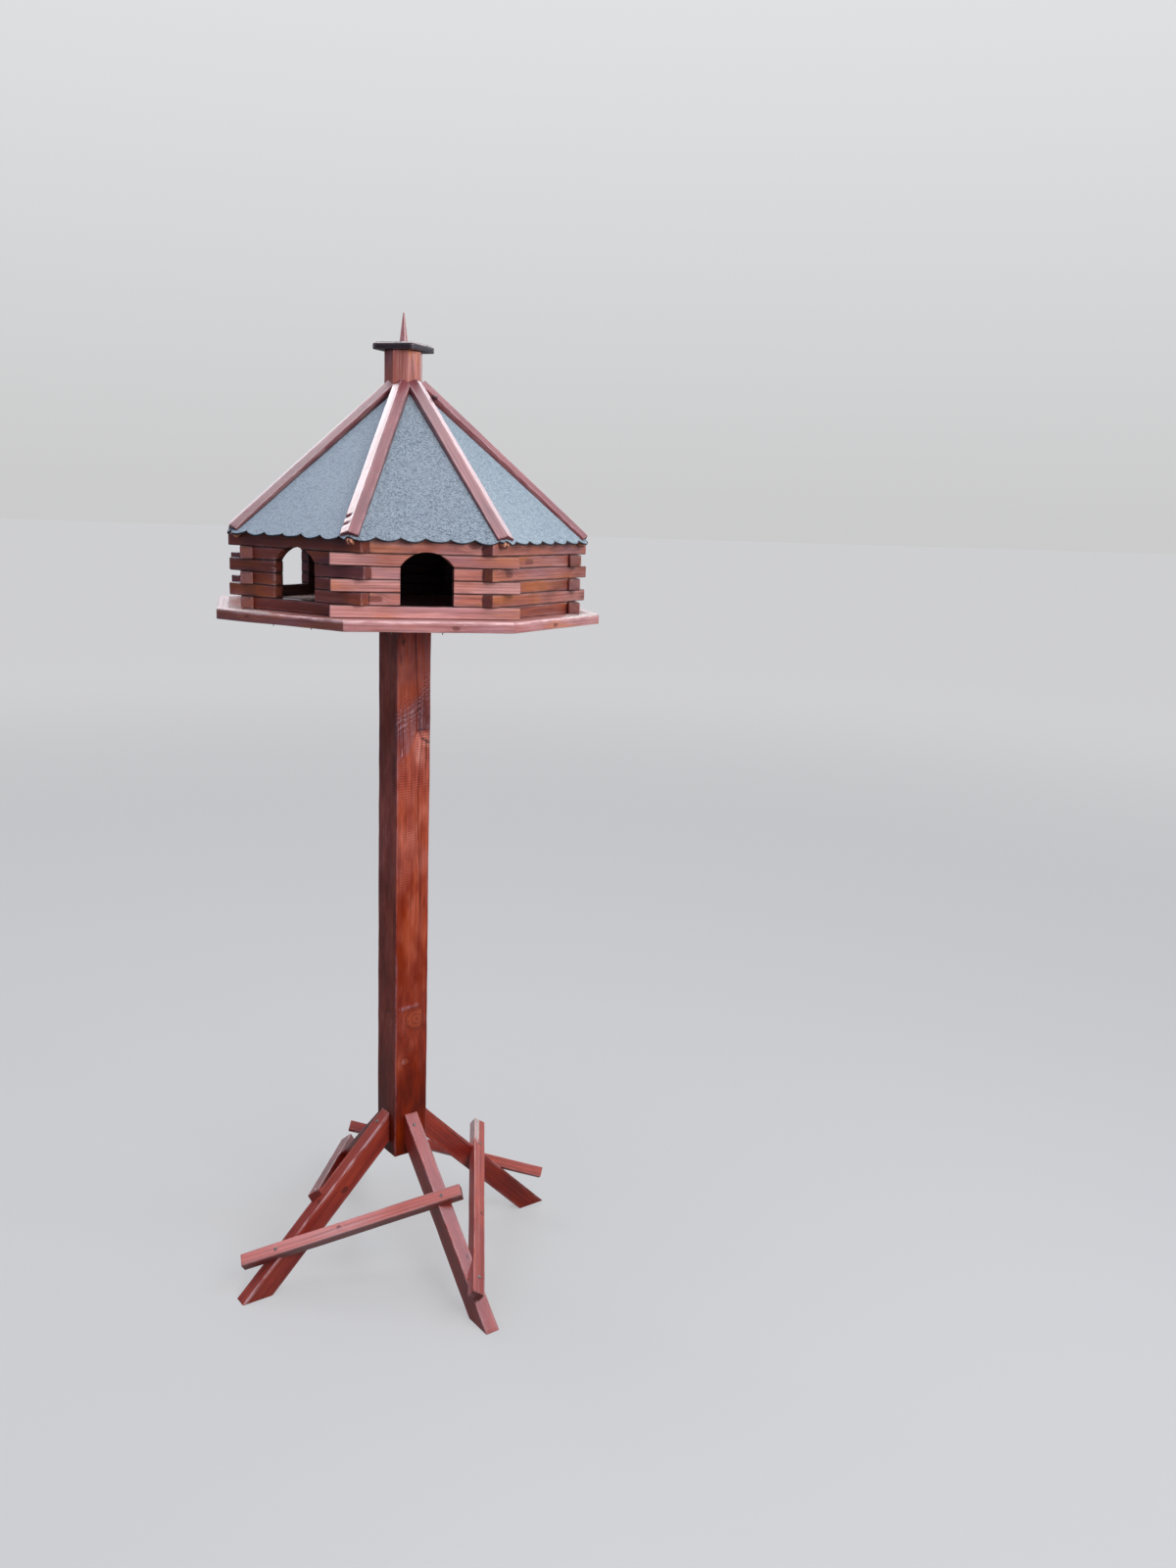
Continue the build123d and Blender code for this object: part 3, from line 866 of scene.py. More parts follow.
def screw(batch, point, normal, turn):
    """A cross-headed screw, its head a little proud of the wood."""
    count = 24
    points = [(0.0, 0.0, -0.1)]
    for share, rise in SCREW_RINGS:
        for n in range(count):
            a = 2 * math.pi * n / count
            cut = share < 0.5 and min(abs(share * math.cos(a)), abs(share * math.sin(a))) < SLOT_HALF
            points.append((share * math.cos(a + turn), share * math.sin(a + turn), rise - 0.55 * cut))
    faces = [(0, 1 + n, 1 + m) for n, m in around(count)] + flipped(tube(len(SCREW_RINGS), count, 1))
    press_in(batch, point, normal, np.array(points) * SCREW_RADIUS * (1, 1, 0.55), faces)


def nail(batch, point, normal, radius, length):
    """A plain round nail head, or with more length the shank that has come through."""
    count = 10
    points = []
    for share, rise in NAIL_RINGS:
        for n in range(count):
            a = 2 * math.pi * n / count
            points.append((share * radius * math.cos(a), share * radius * math.sin(a), rise * length))
    points.append((0, 0, length))
    last = (len(NAIL_RINGS) - 1) * count
    faces = tube(len(NAIL_RINGS), count) + [(last + n, last + m, last + count) for n, m in around(count)]
    press_in(batch, point, normal, points, faces)


def painted_foot_shade(world, local):
    """The right leg is darker towards its foot, as painted shade near the ground."""
    return -0.1 - 0.75 * (1 - smooth(world[:, 2], 0.06, 0.16))


LEG_TONES = {"front": 0.05, "right": painted_foot_shade, "back": -0.2, "left": 0.05}


def make_legs(fasteners):
    """Four raking legs, cut plumb at the post and level just over the ground."""
    outline = [(y, z - LEG_DEPTH / 2) for y, z in rectangle(LEG_WIDTH / 2, LEG_DEPTH / 2)]
    slope = math.tan(LEG_SLOPE)
    reach = (LEG_TOP - LEG_GAP) / math.sin(LEG_SLOPE)
    for n, (name, tone) in enumerate(LEG_TONES.items()):
        turn = n * 90 + HALF
        along, across, out = leg_axes(turn)
        top = leg_point(0, turn)
        rng = np.random.default_rng(200 + n)
        screw_at = LEG_SCREW + 0.004 * rng.uniform(-1, 1)
        knots = [knot_at(rng, 1, 0.12, 0.38, 0.006, 0.004, 0.003),
                 knot_at(rng, 0, 0.1, 0.38, 0.012, 0.007, 0.005)]
        batch = Batch()
        # One arris of the left leg is rubbed strongly pale, as a painted highlight along it
        beam(batch, placing(along, across, out, top), outline, lambda y, z: -z * slope,
             lambda y, z: reach + z / slope, 210 + n, across=0.006, tone=tone, knots=knots,
             ends=(0.0012, 0.0012), rub_and_highlight=[0.6, 2.3, 0.6, 0.5] if name == "left" else [0.6, 0.9, 0.9, 0.6])
        batch.make("leg_lath_" + name, STAND_WOOD, "leg_" + name)
        screw(fasteners, top + along * screw_at - across * 0.002, out, 0.4 + n)


def painted_brace_light(world, local):
    """Painted light on the front right brace: its left half paler, a painted reflection near the upper end of
    that half, and a painted highlight with a painted shade line along its outer face.
    """
    x, y, z = local.T
    ragged = 0.012 * noise(local * (90, 160, 160), 41)
    left = smooth(y, 0.0005, 0.0030)
    outer = smooth(z, 0.004, 0.007)
    # Painted reflection: the upper end of the left half turns pale
    worn = (1 - smooth(x.max() - x + ragged, 0.045, 0.070)) * left
    streaks = smooth(noise(local * (9, 420, 420), 43), -0.2, 0.8)
    # Painted light over the left half, and a painted highlight along the middle of the outer face
    painted_left_light = (0.20 + 0.25 * streaks) * left * (1 - 0.6 * outer) + 0.35 * outer * gauss(y, 0.0010, 0.0010)
    # Painted shade line beside that highlight
    shade = 0.35 * outer * gauss(y, -0.0014, 0.0008)
    return np.stack([1.1 * worn, shade, np.maximum(0.9 * worn, painted_left_light)], 1)


def faded_tone(world, local):
    """The front left brace has faded, most of all in its middle."""
    patches = noise(local * (14, 60, 60), 42)
    return np.interp(local[:, 0], [0.0, 0.05, 0.12, 0.22, 0.31], [1.3, 1.5, 2.1, 2.1, 1.0]) + 0.5 * patches


def faded_and_shaded_end(world, local):
    """Bare wood shows through in the middle of the front left brace, and its lower side is painted dark as
    shade.
    """
    x, y, z = local.T
    fade = np.interp(x, [0.0, 0.10, 0.18, 0.24, 0.30], [0.15, 0.20, 0.55, 0.40, 0.1])
    return np.stack([0 * x, 0.55 * smooth(-y, 0.0100, 0.0118), fade * smooth(z, 0.004, 0.008)], 1)


# Each brace's tone, its state and how fine its section is; the back left brace's dark tone is painted shade
BRACE_LOOKS = {
    "front_left": (faded_tone, faded_and_shaded_end, 0.005), "front_right": (0.45, painted_brace_light, 0.0015),
    "back_right": (0.4, CLEAN, 0.005), "back_left": (-0.8, CLEAN, 0.005),
}


def make_braces(fasteners):
    """Four braces, each from low on one leg to high on the next."""
    middle = BRACE_THICKNESS / 2 - BRACE_SEAT
    for n, (name, (low_share, high_share, low_end, high_end)) in enumerate(BRACES.items()):
        turn = n * 90 + HALF
        low = leg_point(low_share, turn - 90)
        high = leg_point(high_share, turn)
        along = unit(high - low)
        out = leg_axes(turn - 90)[2] + leg_axes(turn)[2]
        out = unit(out - along * (out @ along))
        start = low - along * low_end
        length = float(np.linalg.norm(high - low)) + low_end + high_end
        rng = np.random.default_rng(300 + n)
        screws = [low_end + 0.006 * rng.uniform(-1, 1), length - high_end + 0.006 * rng.uniform(-1, 1)]
        if high_end < 0:
            screws[1] = length - SHORT_END
        tone, state, across = BRACE_LOOKS[name]
        batch = Batch()
        beam(batch, placing(along, np.cross(out, along), out, start + out * middle),
             rectangle(BRACE_WIDTH / 2, BRACE_THICKNESS / 2), 0.0, length, 310 + n, across=across, tone=tone,
             knots=[knot_at(rng, 1, 0.12, length - 0.12, 0.006, 0.004, 0.003)], ends=(0.0010, 0.0010),
             rub_and_highlight=[0.5, 0.8, 1.0, 0.5], state=state)
        batch.make("brace_lath_" + name, STAND_WOOD, "brace_" + name)
        for k, at in enumerate(screws):
            screw(fasteners, start + along * at + out * (middle + BRACE_THICKNESS / 2), out, 0.2 + k + n)


# Floor


def corner_wear(world, local):
    """The floor's top is worn to pale wood inside the house and at its open corners."""
    x, y, z = world.T
    top = smooth(z, FLOOR_TOP - 0.004, FLOOR_TOP - 0.001)
    corner = smooth(np.hypot(x, y), 0.298, 0.322) * smooth(np.abs(x), 0.22, 0.27)
    inside = 1 - smooth(wall_distance(world), WALL_INNER - 0.02, WALL_INNER + 0.02)
    return np.stack([top * np.clip(1.1 * corner + inside, 0, 1.15), 0 * x, 0.45 * top], 1)


def floor_place(middle, turn=0.0):
    """The placing of a floor board, by the distance of its middle from the axis."""
    return placing(OUT_X, OUT_Y, UP, (0, middle, (FLOOR_LOW + FLOOR_TOP) / 2), turn)


def make_floor():
    """The boards of the floor, cut to the octagon inside the rim."""
    batch = Batch()
    apothem = FLOOR_APOTHEM - RIM_WIDTH
    width = 2 * apothem / FLOOR_BOARDS
    for n in range(FLOOR_BOARDS):
        middle = -apothem + width * (n + 0.5)

        def reach(y, z):
            return np.minimum(apothem, apothem * math.sqrt(2) - np.abs(y + middle))

        knots = [knot_at(dice, 1, -0.2, 0.2, 0.04, 0.010, 0.008),
                 knot_at(dice, 3, -0.2, 0.2, 0.04, 0.012, 0.009)]
        beam(batch, floor_place(middle), rectangle(width / 2 - 0.0002, FLOOR_HALF), lambda y, z: -reach(y, z),
             reach, 400 + n, ease=0.0012, spacing=0.012, across=0.008, rough=0.0002,
             tone=dice.uniform(-0.3, 0.3), knots=knots, state=corner_wear)
    batch.make("floor_boards", FLOOR_WOOD, "floor_panel", slot="worn_wood")


RIM_TONES = [-0.2, -0.35, 0.0, 0.1, -0.05, 0.0, 0.1, -0.6]


def make_rim():
    """Eight mitred strips round the floor, with a rounded upper edge."""
    batches = [Batch(), Batch()]
    middle = FLOOR_APOTHEM - RIM_WIDTH / 2 - RIM_GAP
    for n, tone in enumerate(RIM_TONES):
        beam(batches[n % 2], floor_place(-middle, n * STEP), rectangle(RIM_WIDTH / 2, FLOOR_HALF),
             lambda y, z: -(middle - y) * HALF_TAN, lambda y, z: (middle - y) * HALF_TAN, 420 + n,
             ease=0.0015, soft=[1, 1, 3.2, 1], tone=tone, state=corner_wear, ends=(0.0007, 0.0007),
             knots=[knot_at(dice, 2, -0.1, 0.1, 0.004, 0.006, 0.004)], rub_and_highlight=[0.5, 0.8, 1.6, 0.5])
    make_pair(batches, "rim_strips_", RIM_WOOD, "floor_rim_")


# Log walls

# How much further the left and right ends of a wall's long logs run out, from the lowest up
END_TRIM = {
    "front": [(0.0015, 0.0007), (0.0, 0.0), (0.0013, -0.003)],
    "front_left": [(-0.001, -0.008), (-0.002, -0.002), (0.0, -0.008)],
    "front_right": [(-0.005, 0.003), (-0.004, 0.006), (-0.003, 0.003)],
}
# Each log's tone by wall, from the lowest up; the darker front left and front right walls are painted shade
# on the sides away from the light
LOG_TONES_AND_SIDE_SHADE = {
    "front": [0.05, -0.25, 0.1, -0.2, 0.05, -0.2],
    "front_left": [-1.3, -0.9, -1.1, -1.15, -1.0, -1.1],
    "front_right": [-0.95, -0.5, -0.65, -0.4, -0.6, -0.3],
}
# Each log's knot: its side, place along and across, and half its length and height
LOG_KNOTS = {
    ("front", 5): (2, 0.0755, -0.001, 0.009, 0.007),
    ("front_right", 4): (2, -0.037, 0.002, 0.011, 0.008),
    ("front_right", 3): (2, -0.095, 0.0, 0.009, 0.006),
    ("front", 1): (2, -0.0826, 0.002, 0.010, 0.007),
}
# The sides whose outer faces have no other knots than those
SEEN_SIDES = (0, 1, 7)
TOP_LOG_RISE = BOARD_RISE - 0.0008
LOG_AXIS = WALL - LOG_DEPTH / 2
# The gap in a joint of two logs, how far logs lie into one another, and how far their ends and
# those sawn at an opening are eased
JOINT_GAP = 0.0002
LOG_LAP = 0.0001
END_EASE = 0.0014
SAWN_EASE = 0.0008


def under_roof(world):
    """No log stands above the underside of the felt."""
    world[:, 2] = np.minimum(world[:, 2], roof_height(wall_distance(world), BOARD_RISE - 0.0004))
    return world


def log_state(world, local):
    """Painted shade on the inner faces, in the grooves between logs and over the front right wall, patchy
    stain on all logs, and pale wood on the sawn sides of an opening.
    """
    x, y, z = world.T
    # Painted shade: the inner faces are darkened as the unlit inside of the house
    inside = 1 - smooth(wall_distance(world), WALL_INNER + 0.001, WALL_INNER + 0.006)
    depth = np.minimum(np.abs(local[:, 2]), LOG_HEIGHT / 2 + LOG_LAP * (z < WALL_TOP))
    # Painted shade in the grooves where two logs meet
    joint_shade = 0.88 * smooth(depth, LOG_HEIGHT / 2 - 0.0018, LOG_HEIGHT / 2 - 0.0006)
    joint_shade *= 1 - smooth(z, WALL_TOP - 0.004, WALL_TOP - 0.002)
    stain = smooth(noise(world * (16, 16, 55), 52) + 0.5 * noise(world * (40, 40, 120), 53), -0.1, 0.9)
    # Patchy stain on all logs, and painted shade over the front right wall
    right = smooth(x - y, 0.36, 0.40) * (y < 0)
    stain_and_side_shade = stain * (0.10 + 0.20 * right) + 0.17 * right
    across = (x - y) * math.sqrt(0.5)
    out = -(x + y) * math.sqrt(0.5)
    jamb = smooth(noise(world * (90, 90, 160), 54), -0.25, 0.25) * gauss(across, -DOOR_HALF - 0.0012, 0.0030)
    jamb = jamb * (out > WALL - 0.004) * smooth(z, SILL, SILL + 0.01) * (z < SPRING + 0.006)
    return np.stack([0 * x, np.maximum(np.maximum(0.85 * inside, joint_shade), stain_and_side_shade), 0.9 * jamb], 1)


def log_knots(rng, side, ring):
    """A log's knots: those listed, and now and then one on each of two faces."""
    knots = [LOG_KNOTS[SIDES[side], ring]] if (SIDES[side], ring) in LOG_KNOTS else []
    for face, chance in ((2, 0.2), (0, 0.4)):
        if rng.uniform() < chance and not (face == 2 and side in SEEN_SIDES):
            knots.append(knot_at(rng, face, -0.12, 0.12, 0.004, 0.006, 0.0045))
    return knots


class LogPlace:
    """A log's place in its wall, and the shapes that follow from it."""

    def __init__(self, side, ring):
        self.side = side
        self.ring = ring
        self.middle = FLOOR_TOP + ring * LOG_HEIGHT + LOG_HEIGHT / 2

    def butt(self, y, z):
        """Where a short log meets the long ones beside it."""
        turn = math.radians(STEP)
        return (WALL_INNER + (y - LOG_AXIS) * math.cos(turn)) / math.sin(turn) - JOINT_GAP

    def arch(self, y, z):
        """Half the opening's width at a height."""
        rise = np.clip(z + self.middle - ARCH_CENTRE, 0, ARCH_RADIUS)
        wide = np.sqrt(np.maximum(ARCH_RADIUS ** 2 - rise ** 2, 0))
        return np.where(z + self.middle < SPRING, DOOR_HALF, np.minimum(wide, DOOR_HALF))

    def sag(self, local, sides, normals):
        """The log's upper and lower edges wander a little."""
        x = local[:, 0] * 16 + self.side * 7.3
        corner = WALL_INNER * HALF_TAN
        for sign, level in ((1, self.ring + 1), (-1, self.ring)):
            rows = np.sign(normals[:, 1]) == sign
            wander = 0.0012 * field(21, x, level * 5.1, 0.5) + 0.0004 * field(22, x * 5, level * 3.3, 0.5)
            wander *= 1 - smooth(np.abs(local[:, 0]), corner - 0.01, corner)
            if level not in (0, RINGS):
                local[rows, 2] += wander[rows]
        return local

    def notched(self, local, sides, normals):
        """The log over the opening, cut out by the top of the arch."""
        local = self.sag(local, sides, normals)
        under = ARCH_CENTRE - self.middle + np.sqrt(np.maximum(ARCH_RADIUS ** 2 - local[:, 0] ** 2, 0))
        local[:, 2] = np.maximum(local[:, 2], np.where(np.abs(local[:, 0]) < ARCH_RADIUS, under, -1))
        return local


def wall_log(batch, side, ring, long):
    """One log, whole or cut in two by the wall's opening."""
    name = SIDES[side]
    log = LogPlace(side, ring)
    rng = np.random.default_rng(1000 + side * 10 + ring)
    trims = (rng.uniform(-0.006, 0.002), rng.uniform(-0.006, 0.002))
    if name in END_TRIM:
        trims = END_TRIM[name][ring // 2]
    reach = WALL * HALF_TAN + (DIAGONAL_END if side % 2 else STRAIGHT_END)
    left = -(reach + trims[0]) if long else (lambda y, z: -log.butt(y, z))
    right = reach + trims[1] if long else log.butt
    knots = log_knots(rng, side, ring)
    tone = rng.uniform(-0.3, 0.3)
    if name in LOG_TONES_AND_SIDE_SHADE:
        tone = LOG_TONES_AND_SIDE_SHADE[name][ring]
    outline = rectangle(LOG_DEPTH / 2, LOG_HEIGHT / 2 + LOG_LAP)
    if ring == RINGS - 1:
        outline = [(y, z + TOP_LOG_RISE * (z > 0)) for y, z in outline]
    look = {"ease": 0.0021, "across": 0.005, "spacing": 0.007, "rough": 0.00035, "knots": knots,
            "tone": tone, "state": log_state, "shape": log.sag}
    seed = 1100 + side * 10 + ring
    place = placing(OUT_X, OUT_Y, UP, (0, -LOG_AXIS, log.middle), side * STEP)
    if name in OPEN_SIDES and 1 <= ring <= RINGS - 2:
        look["across"] = 0.0022 if ring == RINGS - 2 else 0.005
        beam(batch, place, outline, left, lambda y, z: -log.arch(y, z), seed,
             ends=(END_EASE, SAWN_EASE), **look)
        beam(batch, place, outline, log.arch, right, seed + 500, ends=(SAWN_EASE, END_EASE), **look)
    else:
        if name in OPEN_SIDES and ring == RINGS - 1:
            look.update(spacing=0.0035, shape=log.notched)
        beam(batch, place, outline, left, right, seed, ends=(END_EASE, END_EASE), **look)


def make_walls(fasteners):
    """Eight walls, each as its long logs and its short logs."""
    for side, name in enumerate(SIDES):
        for kind in ("long", "short"):
            batch = Batch()
            for ring in range(RINGS):
                if (ring % 2 == 0) == ((side % 2 == 0) == (kind == "long")):
                    wall_log(batch, side, ring, kind == "long")
            batch.points = [under_roof(points) for points in batch.points]
            batch.make("logs_" + name + "_" + kind, LOG_WOOD, "wall_" + name + "_" + kind + "_logs")
        wall_nails(fasteners, side)


# A wall nail's and a floor nail's radius and length, and where the floor nails come through
WALL_NAIL = (0.0011, 0.0009)
FLOOR_NAIL = (0.0010, 0.0095)
FLOOR_NAIL_ROW = 0.281
FLOOR_NAILS = (-0.056, 0.027)
# Across the wall from its middle, and over the ground
FRONT_LEFT_NAILS = [(0.0665, 1.396), (0.0726, 1.3962), (0.056, 1.3768), (0.066, 1.3401), (0.0579, 1.3575),
                    (0.0723, 1.3583), (-0.0691, 1.3766)]


def on_side(side, out, right, height):
    """A point of a side, by its distances out of the axis, to the right and over the ground."""
    return spun((0, -1, 0), side * STEP) * out + spun(OUT_X, side * STEP) * right + np.array([0, 0, height])


def wall_nails(fasteners, side):
    """Small bright nail heads near a wall's corners."""
    rng = np.random.default_rng(700 + side)
    spots = FRONT_LEFT_NAILS
    if SIDES[side] != "front_left":
        spots = [(sign * rng.uniform(0.085, 0.108), FLOOR_TOP + (ring + rng.uniform(0.3, 0.7)) * LOG_HEIGHT)
                 for sign in (-1, 1) for ring in (1, 3) if rng.uniform() < 0.6]
    out = spun((0, -1, 0), side * STEP)
    for across, height in spots:
        nail(fasteners, on_side(side, WALL - 0.0003, across, height), out, *WALL_NAIL)


def floor_nails(fasteners):
    """Nail points that have come through under each wall."""
    for side in range(8):
        for across in FLOOR_NAILS:
            place = on_side(side, FLOOR_NAIL_ROW, across, FLOOR_LOW + 0.001)
            nail(fasteners, place, (0.03, -0.02, -1), *FLOOR_NAIL)


# Roof

# Points along each lobe of a hem, and where the hem's rows stand up the sheet
LOBE_STEPS = 10
HEM_ROWS = [0, 0.0035, 0.012]
# How far into a lobe each sheet's hem starts, and how pale each sheet is; the paler front left and front
# right sheets carry painted sheen
FELT_STARTS = [0.93, 0.35, 0.6, 0.1, 0.8, 0.45, 0.2, 0.07]
FELT_TONES_AND_SHEEN = [-0.08, 0.14, 0.08, 0.0, -0.05, 0.06, 0.12, 0.34]
# How far each sheet's granules have silted up to one grey; on the front left and front right sheets this also
# paints their sheen
FELT_CALM_AND_SHEEN = [0.25, 0.45, 0.3, 0.3, 0.25, 0.3, 0.4, 0.6]
# How far the felt buckles, and its hem more than the rest
FELT_BUCKLE = 0.0006
HEM_BUCKLE = 0.0011
# How far the boards stand back between the hips, and how near the axis a panel ends
BOARD_SETBACK = 0.022
PANEL_TOP = 0.020
# Keeps neighbouring panels apart at the hips
PANEL_SHARE = 0.9985


def scallops(start):
    """Where a sheet's columns stand across it, and how far each one is cut back at the hem."""
    count = 2 * FELT_EAVE * HALF_TAN / SCALLOP_PITCH
    cusps = [2 * (k - start) / count - 1 for k in range(1, 9)]
    bounds = [-1.0] + [c for c in cusps if -0.97 < c < 0.97] + [1.0]
    lobes = [np.linspace(a, b, LOBE_STEPS, endpoint=False) for a, b in zip(bounds, bounds[1:])]
    columns = np.concatenate(lobes + [[1.0]])
    lobe = ((columns + 1) / 2 * count + start) % 1.0
    lobe = np.where(np.isclose(lobe, 1.0), 0.0, lobe)
    radius = ((SCALLOP_PITCH / 2) ** 2 + SCALLOP_DEPTH ** 2) / (2 * SCALLOP_DEPTH)
    drop = np.sqrt(radius ** 2 - ((lobe - 0.5) * SCALLOP_PITCH) ** 2) - (radius - SCALLOP_DEPTH)
    cut = np.maximum(SCALLOP_DEPTH - drop, SCALLOP_DEPTH * smooth(np.abs(columns), 0.93, 0.985))
    return columns, cut * math.cos(SLOPE)


def slope_panel(batch, side, seed, columns, cut, rows, upper, lower, tone, calm=None):
    """A roof panel between two hips, from the eave up to inside the chimney.

    Columns stand across it from -1 to 1 and rows up it from 0 to 1. The upper and the lower face
    each have a lift and an edge. A calm is given to felt, which is also a little uneven.
    """
    shift = np.random.default_rng(seed).uniform(0, 30, 3)
    layers = []
    for lift, edge in (upper, lower):
        out = edge - cut - (edge - cut - PANEL_TOP) * rows[:, None]
        x = columns * out * HALF_TAN * PANEL_SHARE
        flat = np.stack([x, -out, roof_height(out, lift)], 2).reshape(-1, 3)
        if calm is not None:
            wave = noise(flat * 18 + shift, 2) + 0.5 * noise(flat * 60 + shift, 6)
            hem = np.repeat(1 - smooth(rows, 0.0, 0.05), len(columns)) * noise(flat * (55, 0, 0) + shift, 7)
            flat[:, 2] += FELT_BUCKLE * (wave * 0.5 + 0.5) + HEM_BUCKLE * hem
        layers.append(flat)
    flat = np.vstack(layers)
    grid = np.arange(len(flat) // 2).reshape(len(rows), len(columns))
    quads = np.stack([grid[:-1, :-1], grid[:-1, 1:], grid[1:, 1:], grid[1:, :-1]], 2).reshape(-1, 4)
    faces = np.stack([quads, quads[:, [0, 3, 2, 1]] + grid.size], 1).reshape(-1, 4).tolist()
    border = np.concatenate([grid[0], grid[1:, -1], grid[-1, -2::-1], grid[-2:0:-1, 0]]).tolist()
    faces += [(a, grid.size + a, grid.size + b, b) for a, b in zip(border, border[1:] + border[:1])]
    grain = np.stack([flat[:, 0], flat[:, 1] / math.cos(SLOPE), flat[:, 2] * 0.2], 1)
    grain = grain + np.array([side * 1.7 + seed * 0.013, 0.4, 0.3])
    state = np.zeros((len(flat), 3))
    if calm is not None:
        # The felt's cut edge is painted dark as the shadow line under the hem, and its underside is dark
        state[:len(columns), 1] = 0.75
        state[grid.size:, 1] = 1.0
        state[:, 2] = calm
    world = flat @ placing(OUT_X, OUT_Y, UP, (0, 0, 0), side * STEP)[:3, :3].T
    batch.add(world, faces, grain, 0 * flat + FAR, 0 * flat + (0.0, 0.0, tone), state)


def make_roof():
    """Eight triangles of boards under eight sheets of felt with a scalloped hem."""
    boards = [Batch(), Batch()]
    rng = np.random.default_rng(55)
    felt_rows = np.concatenate([HEM_ROWS, np.linspace(0.03, 1, 31)])
    board_columns = np.linspace(-1, 1, 81)
    board_cut = BOARD_SETBACK * (1 - smooth(np.abs(board_columns), 0.91, 0.95))
    for n, name in enumerate(SIDES):
        slope_panel(boards[n % 2], n, 500 + n, board_columns, board_cut, np.linspace(0, 1, 21),
                    (BOARD_RISE - 0.0003, BOARD_EAVE), (0.0, EAVE), rng.uniform(0.2, 0.6))
        felt = Batch()
        columns, cut = scallops(FELT_STARTS[n])
        slope_panel(felt, n, 520 + n, columns, cut, felt_rows,
                    (BOARD_RISE + FELT_RISE, FELT_EAVE + FELT * math.sin(SLOPE)), (BOARD_RISE, FELT_EAVE),
                    FELT_TONES_AND_SHEEN[n], FELT_CALM_AND_SHEEN[n])
        felt.make("felt_sheet_" + name, FELT_FINISH, "roof_felt_" + name, slot="roof_felt")
    make_pair(boards, "roof_boarding_", BOARD_WOOD, "roof_boards_")


def rib_frame(turn):
    """A rib's start on the hip, its direction up the hip, its way out of the roof and its length."""
    half_cos = math.cos(math.radians(HALF))
    hip = math.atan(math.tan(SLOPE) * half_cos)
    radius = FELT_EAVE / half_cos - RIB_SETBACK
    start = spun((0, -radius, roof_height(radius * half_cos, BOARD_RISE + FELT_RISE)), turn)
    along = spun((0, math.cos(hip), math.sin(hip)), turn)
    out = spun((0, -math.sin(hip), math.cos(hip)), turn)
    return start, along, out, (radius - RIB_TOP) / math.cos(hip)


def lump(batch, centre, radius, seed):
    """A small dark knob, uneven all over."""
    rows, count = 9, 16
    directions = []
    for r in range(1, rows):
        polar = math.pi * r / rows
        for n in range(count):
            a = 2 * math.pi * n / count
            directions.append((math.sin(polar) * math.cos(a), math.sin(polar) * math.sin(a), math.cos(polar)))
    top = len(directions)
    last = top - count
    directions = np.array(directions + [(0, 0, 1), (0, 0, -1)])
    reach = radius * (1 + 0.18 * noise(directions * 1.9, seed % 97))
    faces = flipped(tube(rows - 1, count))
    for n, m in around(count):
        faces += [(top, n, m), (top + 1, last + m, last + n)]
    flat = np.zeros((len(directions), 3))
    batch.add(centre + directions * reach[:, None], faces, directions * radius, flat + FAR,
              flat + (0.0, 0.0, -1.0), flat + (0.0, 0.30, 0.0))


# Each rib's tone; rib 6 is darker as painted shade
RIB_TONES = [-0.2, -0.1, -0.05, 0.0, 0.05, -0.1, -0.6, -0.35]
# The rib with the knob, the one with deeper painted shade on its sides and the one with two chips, and where
# those are along it
KNOB_RIB = 1
DEEP_SHADE_RIB = 6
CHIPPED_RIB = 7
CHIPS = (0.0207, 0.0400)
# The knob's place along the rib, across it and out of it, and its radius
KNOB_PLACE = (0.357, 0.0190, 0.0060)
KNOB_RADIUS = 0.0048
# How near the axis a rib ends, and how much thicker it is there
RIB_TOP = 0.024
RIB_SWELL = 0.0065


